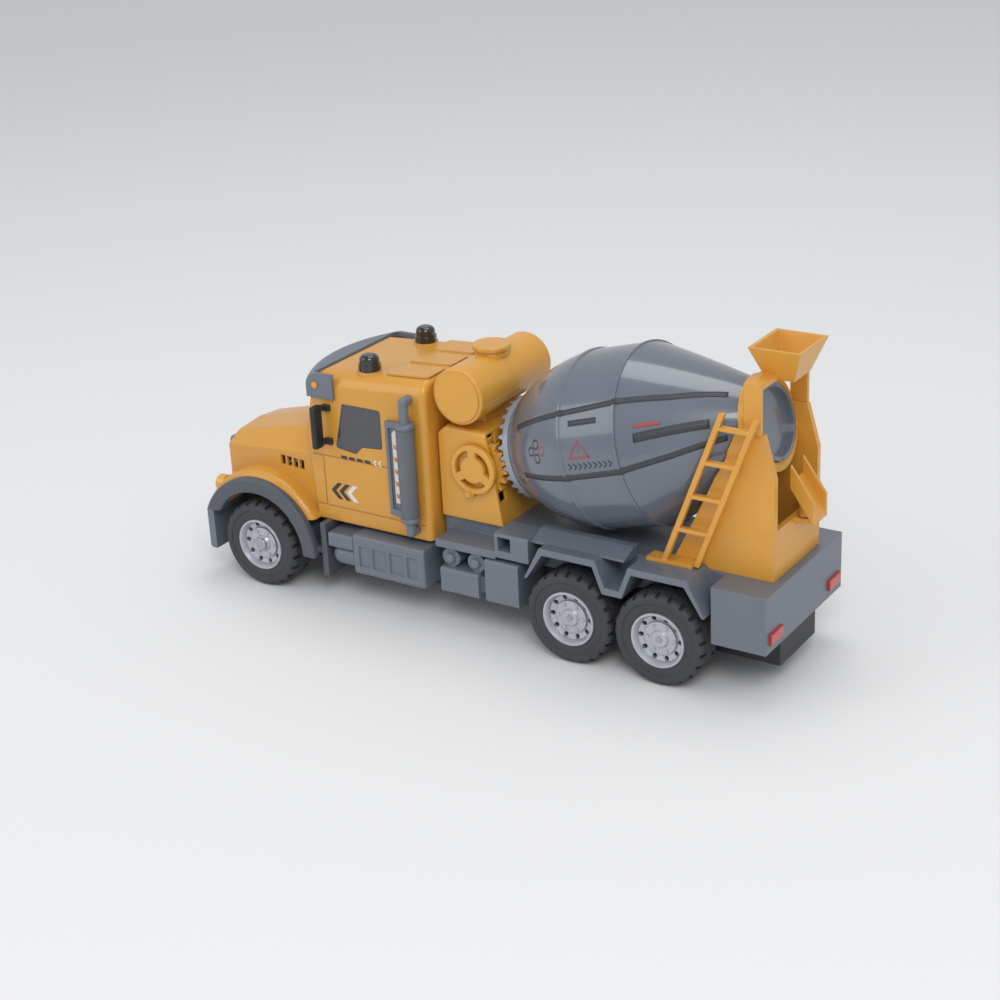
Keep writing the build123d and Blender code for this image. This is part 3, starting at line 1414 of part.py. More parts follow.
with BuildPart() as drive_housing:
    with BuildSketch(Plane.XZ):
        Polygon(*housing_outline(0), align=None)
    extrude(amount=box_half_width, both=True)
    fillet(drive_housing.faces().sort_by(Axis.Z)[-1].edges().filter_by(Axis.X), 2.5)
    with BuildSketch(Plane.XZ):
        Polygon(*housing_outline(box_wall), align=None)
    extrude(amount=box_half_width - box_wall, both=True, mode=Mode.SUBTRACT)
    # bearing boss on the drum's axis
    with BuildSketch(Plane(origin=drum_axis.position, z_dir=drum_axis_dir).offset(bearing_end_s)):
        Circle(bearing_radius)
    extrude(amount=-bearing_length)
    with BuildSketch(Plane(origin=drum_axis.position, z_dir=drum_axis_dir).offset(bearing_end_s)):
        Circle(stub_shaft_radius + running_gap)
    extrude(amount=-bearing_length, mode=Mode.SUBTRACT)
    # slot that lets the pinion reach the crown gear
    box_between(
        (
            box_back_low_x - 1,
            crown_radius - drum_face_width / 2 - 0.8,
            crank_height - drum_pinion_radius - crown_tip - 0.4,
        ),
        (
            crank_x - 3.5,
            crown_radius + drum_face_width / 2 + 0.6,
            box_top_z - box_wall,
        ),
        mode=Mode.SUBTRACT,
    )
    # bearings of the crank shaft in both flanks
    with BuildSketch(side_plane(0)):
        with Locations((crank_x, crank_height)):
            Circle(stub_shaft_radius + running_gap)
    extrude(amount=box_half_width + 1, both=True, mode=Mode.SUBTRACT)
write(drive_housing, "drive_housing")

# ---- hand wheel, shaft and pinion that turn the drum
wheel_disc_radius = 12.0
wheel_disc_skin = 2.6
wheel_disc_y = box_half_width + 0.6
with BuildPart() as crank_shaft:
    with BuildSketch(side_plane(-box_half_width - 0.4)):
        with Locations((crank_x, crank_height)):
            Circle(stub_shaft_radius)
    extrude(amount=-(2 * box_half_width + 0.4 + 0.6 + wheel_disc_skin * 0.6))
    with BuildSketch(side_plane(crown_radius - drum_face_width / 2)):
        with Locations((crank_x, crank_height)):
            gear_sketch(drum_pinion_teeth, drum_gear_module, 0.5, 180 - drum_tilt)
    extrude(amount=-drum_face_width)
write(crank_shaft, "crank_shaft")

with BuildPart() as hand_wheel:
    with BuildSketch(side_plane(wheel_disc_y)):
        with Locations((crank_x, crank_height)):
            Circle(wheel_disc_radius)
        with Locations((crank_x + 2.6, crank_height - wheel_disc_radius - 0.2)):
            Circle(2.6)
    extrude(amount=-wheel_disc_skin)
    fillet(hand_wheel.faces().sort_by(Axis.Y)[-1].edges(), 0.7)
    with BuildSketch(side_plane(wheel_disc_y)):
        with Locations((crank_x, crank_height)):
            Circle(wheel_disc_radius - 2.6)
            Circle(wheel_disc_radius - 5.6, mode=Mode.SUBTRACT)
            with PolarLocations((wheel_disc_radius - 4) / 2 + 3, 3, start_angle=90):
                Rectangle(wheel_disc_radius, 4.2, mode=Mode.SUBTRACT)
    extrude(amount=-wheel_disc_skin, mode=Mode.SUBTRACT)
    with BuildSketch(side_plane(wheel_disc_y + wheel_disc_skin)):
        with Locations((crank_x + 2.6, crank_height - wheel_disc_radius - 0.2)):
            Circle(1.5)
    extrude(amount=-1.2)
    with BuildSketch(side_plane(wheel_disc_y)):
        with Locations((crank_x, crank_height)):
            Circle(stub_shaft_radius)
    extrude(amount=-wheel_disc_skin * 0.6, mode=Mode.SUBTRACT)
write(hand_wheel, "hand_wheel")

# ---- crown gear on the front of the drum
crown_root = dedendum_share * drum_gear_module
crown_ring_s = drum_pinion_radius + crown_root
crown_back_s = crown_ring_s + 2.6
crown_outer_radius = crown_radius + 2.6
crown_inner_radius = crown_radius - 3.4
crown_tooth_length = 5.0
crown_play = 0.45
drum_face = Plane(origin=crank_point, x_dir=(0, 1, 0), z_dir=drum_axis_dir)
with BuildPart() as crown_gear:
    with BuildSketch(drum_face.offset(crown_ring_s - 0.2)):
        Circle(crown_outer_radius)
        Circle(crown_inner_radius - 2, mode=Mode.SUBTRACT)
    extrude(amount=crown_back_s - crown_ring_s + 0.2)
    crown_pitch = math.pi * drum_gear_module
    crown_half = crown_pitch / 4 - crown_play / 2
    crown_slope = math.tan(pressure_angle)
    with BuildSketch(
        Plane(
            origin=crank_point + drum_axis_dir * drum_pinion_radius + Vector(0, crown_outer_radius - 0.3, 0),
            x_dir=drum_axis_dir,
            z_dir=(0, -1, 0),
        )
    ):
        Polygon(
            (-crown_tip, crown_half - crown_tip * crown_slope),
            (crown_root, crown_half + crown_root * crown_slope),
            (crown_root, -crown_half - crown_root * crown_slope),
            (-crown_tip, -crown_half + crown_tip * crown_slope),
            align=None,
        )
    one_tooth = extrude(amount=crown_tooth_length, mode=Mode.PRIVATE)
    for tooth in range(crown_teeth):
        add(one_tooth.rotate(drum_axis, (tooth + 0.5) * 360 / crown_teeth))
write(crown_gear, "crown_gear")

# ---- drum: front cone, belt and rear cone, joined at two beads
drum_front_s = crown_back_s
belt_front_s = drum_front_s + front_cone_length
belt_back_s = belt_front_s + belt_length
cone_back_s = belt_back_s + rear_cone_length
mouth_s = cone_back_s + neck_length
drum_front_radius = crown_outer_radius - 0.4
bead = 0.6
mid_cone_radius = drum_front_radius + (drum_radius - drum_front_radius) * 0.66
with BuildPart() as drum_front_cone:
    with BuildSketch(drum_plane):
        with BuildLine():
            ThreePointArc(
                (drum_front_s, drum_front_radius),
                (drum_front_s + front_cone_length * 0.46, mid_cone_radius),
                (belt_front_s, drum_radius),
            )
            Line((belt_front_s, drum_radius), (belt_front_s, drum_radius - drum_wall))
            ThreePointArc(
                (belt_front_s, drum_radius - drum_wall),
                (drum_front_s + front_cone_length * 0.46, mid_cone_radius - drum_wall),
                (drum_front_s + drum_wall, drum_front_radius - drum_wall),
            )
            Polyline(
                (drum_front_s + drum_wall, drum_front_radius - drum_wall),
                (drum_front_s + drum_wall, 0),
                (bearing_end_s - bearing_length - 1.5, 0),
                (bearing_end_s - bearing_length - 1.5, stub_shaft_radius),
                (bearing_end_s + 0.4, stub_shaft_radius),
                (bearing_end_s + 0.4, stub_shaft_radius + 2.4),
                (drum_front_s, stub_shaft_radius + 2.4),
                (drum_front_s, drum_front_radius),
            )
        make_face()
    revolve(axis=drum_axis)
write(drum_front_cone, "drum_front_cone")

with BuildPart() as drum_belt:
    with BuildSketch(drum_plane):
        with BuildLine():
            Polyline(
                (belt_front_s, drum_radius - drum_wall),
                (belt_front_s, drum_radius + bead),
                (belt_front_s + 1.4, drum_radius + bead),
                (belt_front_s + 1.8, drum_radius),
                (belt_back_s - 1.8, drum_radius),
                (belt_back_s - 1.4, drum_radius + bead),
                (belt_back_s, drum_radius + bead),
                (belt_back_s, drum_radius - drum_wall),
                (belt_front_s, drum_radius - drum_wall),
            )
        make_face()
    revolve(axis=drum_axis)
write(drum_belt, "drum_belt")

mouth_recess = 3.0
rear_neck_radius = drum_mouth_radius
cone_end_radius = drum_mouth_radius + 2.0
mid_rear_radius = (drum_radius + cone_end_radius) / 2 + 0.5
with BuildPart() as drum_rear_cone:
    with BuildSketch(drum_plane):
        with BuildLine():
            ThreePointArc(
                (belt_back_s, drum_radius),
                ((belt_back_s + cone_back_s) / 2, mid_rear_radius),
                (cone_back_s, cone_end_radius),
            )
            Polyline(
                (cone_back_s, cone_end_radius),
                (cone_back_s, rear_neck_radius),
                (mouth_s, rear_neck_radius),
                (mouth_s, rear_neck_radius - 1.8),
                (mouth_s - mouth_recess, rear_neck_radius - 1.8),
                (mouth_s - mouth_recess, 0),
                (mouth_s - mouth_recess - drum_wall, 0),
                (mouth_s - mouth_recess - drum_wall, rear_neck_radius - drum_wall),
                (cone_back_s, rear_neck_radius - drum_wall),
            )
            ThreePointArc(
                (cone_back_s, rear_neck_radius - drum_wall),
                ((belt_back_s + cone_back_s) / 2, mid_rear_radius - drum_wall),
                (belt_back_s, drum_radius - drum_wall),
            )
            Line((belt_back_s, drum_radius - drum_wall), (belt_back_s, drum_radius))
        make_face()
    revolve(axis=drum_axis)
write(drum_rear_cone, "drum_rear_cone")

# ---- rear pedestal that carries the drum's neck
neck_gap = 0.3
cone_clearance = 1.6
pedestal_inner_y = 19.9
pedestal_skin = 3.0
pedestal_outer_y = pedestal_inner_y + pedestal_skin
ring_outer_radius = drum_mouth_radius + 4.6
ring_front_s = cone_back_s + 1.2
ring_length = 5.0
ring_x, ring_z = drum_point(ring_front_s + ring_length / 2)
pedestal_back_x = deck_rear_x + 4.0
pedestal_front_x = ring_x + 34.0
pedestal_plate = 1.8
cross_wall_top_z = ring_z - 40.0
lug_radius = 3.6
lug_thickness = 2.5
chute_pin_radius = 2.0
chute_pivot_x = pedestal_back_x - 3.5
chute_front_x = chute_pivot_x + 4.0
chute_back_x = -bumper_front_x
chute_half = 7.0
chute_depth = 6.0
chute_skin = 1.6
chute_reach = 40.0
chute_floor_rise = 9.0
chute_slope = math.radians(55.0)
chute_plane = Plane(
    origin=(chute_pivot_x, 0, cross_wall_top_z + chute_floor_rise),
    x_dir=(0, 1, 0),
    z_dir=(-math.cos(chute_slope), 0, -math.sin(chute_slope)),
)
with BuildPart() as rear_pedestal:
    for side in (1, -1):
        with BuildSketch(side_plane(side * pedestal_inner_y)) as flank:
            with BuildLine():
                Polyline(
                    (ring_x + 4, ring_z + 3),
                    (ring_x - 9, ring_z + 3),
                    (pedestal_back_x, ring_z - 16),
                    (pedestal_back_x, deck_top_z),
                    (pedestal_front_x, deck_top_z),
                    (pedestal_front_x, deck_top_z + pedestal_plate),
                )
                ThreePointArc(
                    (pedestal_front_x, deck_top_z + pedestal_plate),
                    (ring_x + 20, ring_z - 33),
                    (ring_x + 4, ring_z + 3),
                )
            make_face()
        extrude(amount=-side * pedestal_skin)
    with BuildSketch(drum_face.offset(ring_front_s)):
        Circle(ring_outer_radius)
    extrude(amount=ring_length)
    # cross wall between the flanks and a foot plate on the deck
    box_between(
        (pedestal_back_x, -pedestal_inner_y, deck_top_z),
        (pedestal_back_x + 2.4, pedestal_inner_y, cross_wall_top_z),
    )
    box_between(
        (pedestal_back_x, -pedestal_outer_y, deck_top_z),
        (pedestal_front_x, pedestal_outer_y, deck_top_z + pedestal_plate),
    )
    with BuildSketch(drum_face.offset(ring_front_s)):
        Circle(drum_mouth_radius + neck_gap)
    extrude(amount=40, mode=Mode.SUBTRACT)
    # the flanks stand clear of the turning cone
    with BuildSketch(drum_plane) as cone_room:
        Polygon(
            (belt_back_s, 0),
            (belt_back_s, drum_radius + cone_clearance),
            (cone_back_s, cone_end_radius + cone_clearance),
            (ring_front_s, cone_end_radius + cone_clearance),
            (ring_front_s, 0),
            align=None,
        )
    revolve(axis=drum_axis, mode=Mode.SUBTRACT)
    # lug with the eye that the chute turns in
    with BuildSketch(Plane.XY.offset(cross_wall_top_z - lug_thickness)):
        with Locations((chute_pivot_x, 0)):
            Circle(lug_radius)
        with Locations(((chute_pivot_x + pedestal_back_x) / 2, 0)):
            Rectangle(pedestal_back_x - chute_pivot_x + 2, 2 * lug_radius)
    extrude(amount=lug_thickness)
    with BuildSketch(Plane.XY.offset(cross_wall_top_z - lug_thickness)):
        with Locations((chute_pivot_x, 0)):
            Circle(chute_pin_radius + running_gap)
    extrude(amount=lug_thickness, mode=Mode.SUBTRACT)
write(rear_pedestal, "rear_pedestal")

# ---- ladder up the left side
ladder_low_y = pedestal_outer_y + 4.2
ladder_depth = 2.6
ladder_foot_x = last_axle_x + 1.8
ladder_foot_z = fender_top_z + 1.6
ladder_run = 28.0
ladder_rise = 72.0
ladder_width = 15.8
rail_size = 2.6
rung_count = 4
with BuildPart() as ladder:
    with BuildSketch(side_plane(ladder_low_y)):
        for rail in (0, 1):
            foot = ladder_foot_x - rail * ladder_width
            Polygon(
                (foot, ladder_foot_z - 0.5),
                (foot + rail_size, ladder_foot_z - 0.5),
                (foot + rail_size - ladder_run, ladder_foot_z + ladder_rise),
                (foot - ladder_run, ladder_foot_z + ladder_rise),
                align=None,
            )
        for rung in range(rung_count):
            up = (rung + 0.95) / (rung_count + 0.35)
            rung_x = ladder_foot_x - up * ladder_run
            rung_z = ladder_foot_z + up * ladder_rise
            with Locations((rung_x - ladder_width / 2 + rail_size / 2, rung_z)):
                Rectangle(ladder_width, 1.8)
    extrude(amount=-ladder_depth)
    box_between(
        (ladder_foot_x - ladder_width + 3, pedestal_outer_y + 0.1, fender_top_z),
        (ladder_foot_x + rail_size + 7, ladder_low_y + ladder_depth + 0.6, ladder_foot_z),
    )
write(ladder, "ladder")

# ---- loading hopper above the drum's mouth
hopper_half = 14.0
hopper_wall = 1.6
hopper_low_z = ring_z + ring_outer_radius + 1.4
hopper_high_z = hopper_low_z + 14.5
hopper_x = ring_x - 9.0
hopper_length = 24.0
with BuildPart() as hopper:
    with BuildSketch(Plane.XY.offset(hopper_low_z)):
        with Locations((hopper_x, 0)):
            Rectangle(13, 16)
    with BuildSketch(Plane.XY.offset(hopper_high_z)):
        with Locations((hopper_x, 0)):
            Rectangle(hopper_length, 2 * hopper_half)
    loft()
    with BuildSketch(Plane.XY.offset(hopper_low_z)):
        with Locations((hopper_x, 0)):
            Rectangle(13 - 2 * hopper_wall, 16 - 2 * hopper_wall)
    with BuildSketch(Plane.XY.offset(hopper_high_z)):
        with Locations((hopper_x, 0)):
            Rectangle(hopper_length - 2 * hopper_wall, 2 * hopper_half - 2 * hopper_wall)
    loft(mode=Mode.SUBTRACT)
    # posts that stand on the pedestal's flanks
    for side in (1, -1):
        arm_low, arm_high = sorted((side * 7.6, side * (pedestal_outer_y + 1)))
        box_between((ring_x - 8, arm_low, hopper_low_z), (ring_x, arm_high, hopper_low_z + 2.4))
        post_low, post_high = sorted((side * (ring_outer_radius + 0.2), side * (pedestal_outer_y + 1)))
        box_between((ring_x - 8, post_low, ring_z + 3), (ring_x, post_high, hopper_low_z))
write(hopper, "hopper")

# ---- discharge chute on its upright pin
with BuildPart() as chute:
    with BuildSketch(chute_plane):
        Rectangle(2 * chute_half, chute_depth, align=(Align.CENTER, Align.MAX))
    extrude(amount=chute_reach, both=True)
    box_between(
        (chute_back_x, -chute_half, deck_top_z), (chute_front_x, chute_half, ring_z), Mode.INTERSECT
    )
    with BuildSketch(Plane.XY.offset(cross_wall_top_z + 0.3)):
        with Locations((chute_pivot_x, 0)):
            Circle(chute_pin_radius + 0.8)
    extrude(amount=chute_floor_rise + 3)
    with BuildSketch(chute_plane):
        with Locations((0, -chute_skin)):
            Rectangle(2 * (chute_half - chute_skin), 2 * chute_depth, align=(Align.CENTER, Align.MAX))
    extrude(amount=chute_reach, both=True, mode=Mode.SUBTRACT)
    with BuildSketch(Plane.XY.offset(cross_wall_top_z - lug_thickness - 0.5)):
        with Locations((chute_pivot_x, 0)):
            Circle(chute_pin_radius)
    extrude(amount=lug_thickness + 1.5)
write(chute, "chute")

# ---- lamps on the tail crossbeam
lamp_length = 12.0
lamp_y = 30.0
lamp_low_z = 29.0
lamp_height = 5.0
with BuildPart() as tail_lamps:
    for side in (1, -1):
        low_y, high_y = sorted((side * (lamp_y - lamp_length / 2), side * (lamp_y + lamp_length / 2)))
        box_between((deck_rear_x - 1.4, low_y, lamp_low_z), (deck_rear_x, high_y, lamp_low_z + lamp_height))
    fillet(tail_lamps.faces().sort_by(Axis.X)[:2].edges(), 0.5)
write(tail_lamps, "tail_lamps")
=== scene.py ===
import json
import math

import bmesh
import bpy
from mathutils import Matrix, Vector


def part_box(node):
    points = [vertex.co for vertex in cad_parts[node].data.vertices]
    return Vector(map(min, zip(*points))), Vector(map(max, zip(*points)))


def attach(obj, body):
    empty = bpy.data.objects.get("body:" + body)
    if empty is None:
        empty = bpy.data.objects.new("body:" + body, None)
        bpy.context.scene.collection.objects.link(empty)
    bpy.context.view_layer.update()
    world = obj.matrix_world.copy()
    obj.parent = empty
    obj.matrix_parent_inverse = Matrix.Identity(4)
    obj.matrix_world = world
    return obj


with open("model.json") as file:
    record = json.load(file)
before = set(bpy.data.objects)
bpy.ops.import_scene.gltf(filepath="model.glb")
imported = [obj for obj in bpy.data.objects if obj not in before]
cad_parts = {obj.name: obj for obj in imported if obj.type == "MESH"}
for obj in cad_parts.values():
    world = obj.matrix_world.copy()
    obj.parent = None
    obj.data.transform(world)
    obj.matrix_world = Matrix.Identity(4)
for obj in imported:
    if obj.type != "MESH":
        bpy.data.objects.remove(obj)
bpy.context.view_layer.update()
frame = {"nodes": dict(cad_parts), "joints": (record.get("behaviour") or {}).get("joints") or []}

# ---- Cab and bonnet
# One injection-moulded ABS shell in mustard yellow with a satin gloss. It is screwed to the
# chassis from below, and its edges are rubbed a little lighter by handling.


class Value:
    """A socket of a finish, so that sums on it are written as plain expressions."""

    def __init__(self, finish, socket):
        self.finish = finish
        self.socket = socket

    def sum_with(self, operation, first, second):
        return self.finish.node("ShaderNodeMath", {"operation": operation}, {0: first, 1: second})

    def __add__(self, other):
        return self.sum_with("ADD", self, other)

    def __radd__(self, other):
        return self.sum_with("ADD", other, self)

    def __sub__(self, other):
        return self.sum_with("SUBTRACT", self, other)

    def __rsub__(self, other):
        return self.sum_with("SUBTRACT", other, self)

    def __mul__(self, other):
        return self.sum_with("MULTIPLY", self, other)

    def __rmul__(self, other):
        return self.sum_with("MULTIPLY", other, self)


class Finish:
    """One material: node() adds any node from its type, its settings and its sockets' values."""

    def __init__(self, name):
        self.material = bpy.data.materials.new(name)
        self.material.use_nodes = True
        self.tree = self.material.node_tree
        self.tree.nodes.clear()

    def node(self, kind, settings=None, sockets=None, output=0):
        made = self.tree.nodes.new(kind)
        for key, setting in (settings or {}).items():
            if key == "stops":
                for stop, (place, colour) in zip(made.color_ramp.elements, setting):
                    stop.position = place
                    stop.color = colour
            else:
                setattr(made, key, setting)
        for key, given in (sockets or {}).items():
            if isinstance(given, Value):
                self.tree.links.new(given.socket, made.inputs[key])
            else:
                made.inputs[key].default_value = given
        return Value(self, made.outputs[output])

    def mix(self, share, first, second, blend="MIX"):
        return self.node(
            "ShaderNodeMix", {"data_type": "RGBA", "blend_type": blend}, {0: share, 6: first, 7: second}, 2
        )

    def surface(self, **sockets):
        named = {key.replace("_", " "): given for key, given in sockets.items()}
        shader = self.node("ShaderNodeBsdfPrincipled", None, named)
        end = self.tree.nodes.new("ShaderNodeOutputMaterial")
        self.tree.links.new(shader.socket, end.inputs["Surface"])
        return self.material


def rgba(red, green, blue):
    return (red, green, blue, 1.0)


def moulded(name, colour, roughness, coat=0.0, grain=0.25, rounding=0.0006, wear=0.25, tint=0.07, metal=0.0):
    """Moulded plastic: cloudy colour, faint skin texture, softened and slightly worn edges."""
    finish = Finish(name)
    place = finish.node("ShaderNodeTexCoord", output="Object")
    cloud = finish.node("ShaderNodeTexNoise", None, {"Vector": place, "Scale": 38.0, "Detail": 5.0}, "Fac")
    dust = finish.node("ShaderNodeTexNoise", None, {"Vector": place, "Scale": 420.0, "Detail": 3.0}, "Fac")
    skin = finish.node("ShaderNodeTexNoise", None, {"Vector": place, "Scale": 1900.0, "Detail": 2.0}, "Fac")
    soft = finish.node("ShaderNodeBevel", {"samples": 6}, {"Radius": rounding}, "Normal")
    flat = finish.node("ShaderNodeNewGeometry", output="Normal")
    facing = finish.node("ShaderNodeVectorMath", {"operation": "DOT_PRODUCT"}, {0: soft, 1: flat}, "Value")
    edge = finish.node("ShaderNodeClamp", None, {"Value": (1 - facing) * 9.0})
    dark = tuple(c * (1 - tint * 1.6) for c in colour[:3]) + (1.0,)
    light = tuple(min(1.0, c * (1 + tint * 1.2)) for c in colour[:3]) + (1.0,)
    pale = tuple(c + (1 - c) * 0.35 for c in colour[:3]) + (1.0,)
    body = finish.mix(cloud, dark, light)
    mottled = finish.mix(dust * 0.3, body, light)
    worn = finish.mix(edge * dust * wear, mottled, pale)
    relief = skin * grain + dust * grain
    bump = finish.node(
        "ShaderNodeBump", None, {"Height": relief, "Strength": 0.18, "Distance": 0.0002, "Normal": soft}
    )
    return finish.surface(
        Base_Color=worn,
        Roughness=roughness + cloud * 0.10 + edge * 0.10 - 0.05,
        Metallic=metal,
        Coat_Weight=coat,
        Normal=bump,
    )


def dress(material, *nodes):
    """Gives CAD nodes their finish."""
    for name in nodes:
        for slot in frame["nodes"][name].material_slots:
            slot.material = material


yellow = moulded("mustard_abs", rgba(0.66, 0.315, 0.040), 0.34, coat=0.25, rounding=0.0009)
dress(yellow, "cab_body")
cab_side = max(Vector(corner).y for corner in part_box("cab_windows")) + 0.0005


def piece(name, mesh, material, body, smooth=True):
    """Adds a finished mesh as a named piece that rides on a body."""
    made = bpy.data.objects.new(name, mesh)
    bpy.context.collection.objects.link(made)
    made.data.materials.append(material)
    for face in mesh.polygons:
        face.use_smooth = smooth
    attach(made, body)
    return made


def printed(name, outlines, place, material, body, lift=0.00012):
    """Thin printed film: closed outlines in two coordinates, put on a surface by place(u, v, height)."""
    form = bmesh.new()
    for outline in outlines:
        top = [form.verts.new(place(u, v, lift)) for u, v in outline]
        low = [form.verts.new(place(u, v, 0.0)) for u, v in outline]
        form.faces.new(top)
        form.faces.new(list(reversed(low)))
        for index in range(len(outline)):
            after = (index + 1) % len(outline)
            form.faces.new((top[index], low[index], low[after], top[after]))
    bmesh.ops.recalc_face_normals(form, faces=form.faces)
    mesh = bpy.data.meshes.new(name)
    form.to_mesh(mesh)
    form.free()
    return piece(name, mesh, material, body, smooth=False)


def ink(name, colour, roughness=0.45):
    """Pad-printed ink or a thin sticker: slightly uneven cover and sheen."""
    finish = Finish(name)
    place = finish.node("ShaderNodeTexCoord", output="Object")
    cloud = finish.node("ShaderNodeTexNoise", None, {"Vector": place, "Scale": 300.0, "Detail": 4.0}, "Fac")
    dark = tuple(c * 0.82 for c in colour[:3]) + (1.0,)
    bump = finish.node("ShaderNodeBump", None, {"Height": cloud, "Strength": 0.05, "Distance": 0.0001})
    return finish.surface(
        Base_Color=finish.mix(cloud, dark, colour), Roughness=roughness + cloud * 0.1, Normal=bump
    )


# ---- Door prints
# Three swept chevrons low on each door and a short stripe with two arrowheads under the
# window, pad-printed in dark grey and white ink on the moulded skin.
dark_ink = ink("dark_ink", rgba(0.035, 0.04, 0.05))
white_ink = ink("white_ink", rgba(0.78, 0.78, 0.76))
chevron_z = 0.0560
chevron_height = 0.0084
chevron_reach = 0.0040
chevron_bar = 0.0027
chevron_pitch = 0.0046
chevron_front_x = 0.0810
dash_front_x = 0.0732
dash_pitch = 0.0046
dash_low_z = 0.0736
dash_high_z = 0.0750
arrow_front_x = 0.0545
arrow_pitch = 0.0026
arrow_z = 0.0746


def chevron(front_x, middle_z, height, reach, bar):
    """Arrowhead pointing to the bonnet."""
    half = height / 2
    return [
        (front_x, middle_z),
        (front_x - reach, middle_z + half),
        (front_x - reach - bar, middle_z + half),
        (front_x - bar, middle_z),
        (front_x - reach - bar, middle_z - half),
        (front_x - reach, middle_z - half),
    ]


for side, hand in ((1, "left"), (-1, "right")):

    def on_door(x, z, height, side=side):
        return Vector((x, side * (cab_side + height), z))

    for number, shade in enumerate((dark_ink, dark_ink, white_ink)):
        tip = chevron_front_x - number * chevron_pitch
        printed(
            f"door_chevron_{hand}_{number + 1}",
            [chevron(tip, chevron_z, chevron_height, chevron_reach, chevron_bar)],
            on_door, shade, "chassis",
        )
    dashes = [
        [(x, dash_low_z), (x - 0.0034, dash_low_z), (x - 0.0030, dash_high_z), (x + 0.0004, dash_high_z)]
        for x in (dash_front_x - step * dash_pitch for step in range(4))
    ]
    printed(f"door_dashes_{hand}", dashes, on_door, dark_ink, "chassis")
    arrow_xs = (arrow_front_x, arrow_front_x - arrow_pitch)
    heads = [chevron(x, arrow_z, 0.0030, 0.0013, 0.0010) for x in arrow_xs]
    printed(f"door_arrows_{hand}", heads, on_door, white_ink, "chassis")

# ---- Windows
# Dark grey glossy panes, moulded separately and pressed in from inside the cab.
glass = moulded("window_dark", rgba(0.05, 0.055, 0.065), 0.12, coat=0.6, grain=0.05, wear=0.05)
dress(glass, "cab_windows")

# ---- Water tank, drive housing, pedestal, ladder, hopper and chute
# Separate mouldings in the same mustard plastic as the cab, clipped into the deck.
tank_yellow = moulded("mustard_tank", rgba(0.69, 0.335, 0.038), 0.30, coat=0.3, rounding=0.0009)
dress(tank_yellow, "water_tank", "tank_hatch", "drive_housing", "hand_wheel", "crank_shaft")
ladder_yellow = moulded("mustard_ladder", rgba(0.70, 0.335, 0.045), 0.38, coat=0.15, rounding=0.0005)
dress(ladder_yellow, "rear_pedestal", "ladder", "hopper", "chute")

# ---- Deck, fenders, side tanks, bumper, grille and visor
# Blue-grey ABS with a satin skin. The wheel flares and mudguards are a darker batch.
grey = moulded("blue_grey_abs", rgba(0.145, 0.168, 0.205), 0.40, coat=0.15, rounding=0.0008)
dress(grey, "upper_chassis", "step_tanks", "air_tanks", "side_boxes", "sun_visor", "front_bumper", "grille")
flare_grey = moulded("flare_grey", rgba(0.082, 0.092, 0.112), 0.46, rounding=0.0009)
dress(flare_grey, "fender_flare_left", "fender_flare_right")
black = moulded("black_abs", rgba(0.016, 0.017, 0.020), 0.45)
dress(black, "chassis_tray", "door_mirrors", "battery_cover", "power_switch_knob", "power_switch_body")
dress(black, "steering_knuckle_left", "steering_knuckle_right")

# ---- Exhaust stacks
# Grey plastic pipes with a knurled mesh sleeve, beside a shield plate whose sunk panel
# holds a white strip with orange marks.


def knurled(name, colour, middle_x, middle_y, radius, strand):
    """Grey plastic with a fine diamond net wrapped round each upright sleeve, the hollows of the net
    darkened as painted shade.
    """
    finish = Finish(name)
    place = finish.node("ShaderNodeTexCoord", output="Object")
    x, y, z = (finish.node("ShaderNodeSeparateXYZ", None, {0: place}, axis) for axis in "XYZ")
    outward = finish.node("ShaderNodeMath", {"operation": "ABSOLUTE"}, {0: y}) - middle_y
    around = finish.node("ShaderNodeMath", {"operation": "ARCTAN2"}, {0: outward, 1: x - middle_x}) * radius
    turns = math.pi / strand
    first = finish.node("ShaderNodeMath", {"operation": "SINE"}, {0: (around + z) * turns})
    second = finish.node("ShaderNodeMath", {"operation": "SINE"}, {0: (around - z) * turns})
    hollow_shade_mask = finish.node("ShaderNodeClamp", None, {"Value": first * second * first * second * 2.2})
    cloud = finish.node("ShaderNodeTexNoise", None, {"Vector": place, "Scale": 60.0}, "Fac")
    soft = finish.node("ShaderNodeBevel", {"samples": 6}, {"Radius": 0.0006}, "Normal")
    bump = finish.node(
        "ShaderNodeBump", None, {"Height": 1 - hollow_shade_mask, "Strength": 0.7, "Distance": 0.0004, "Normal": soft}
    )
    # dark: the sleeve grey at 45%, painted into the hollows of the net as painted shade.
    dark = tuple(c * 0.45 for c in colour[:3]) + (1.0,)
    shaded = tuple(c * 0.88 for c in colour[:3]) + (1.0,)
    return finish.surface(
        # Painted shade: the hollows of the net take the dark colour.
        Base_Color=finish.mix(hollow_shade_mask, finish.mix(cloud, shaded, colour), dark),
        Roughness=0.42 + cloud * 0.1,
        Normal=bump,
    )


dress(grey, "exhaust_stacks")
sleeve_x = 0.0315
sleeve_y = 0.0375
sleeve_radius = 0.0043
sleeve_chamfer = 0.0003
sleeve_low_z = 0.0525
sleeve_high_z = 0.0975
band_radius = 0.0048
shield_panel = 0.0013
strip_film = 0.00012
sleeve_grey = knurled("stack_mesh", rgba(0.20, 0.225, 0.255), sleeve_x, sleeve_y, sleeve_radius, 0.0013)


def turned(name, rings, place, material, body, around=40, smooth=True):
    """A closed turned form from (distance, radius) rings, put in space by place(distance, radius, angle)."""
    form = bmesh.new()
    loops = []
    for distance, radius in rings:
        loops.append(
            [form.verts.new(place(distance, radius, 2 * math.pi * k / around)) for k in range(around)]
        )
    for first, second in zip(loops, loops[1:]):
        for k in range(around):
            after = (k + 1) % around
            form.faces.new((first[k], first[after], second[after], second[k]))
    form.faces.new(list(reversed(loops[0])))
    form.faces.new(loops[-1])
    bmesh.ops.recalc_face_normals(form, faces=form.faces)
    mesh = bpy.data.meshes.new(name)
    form.to_mesh(mesh)
    form.free()
    return piece(name, mesh, material, body, smooth)


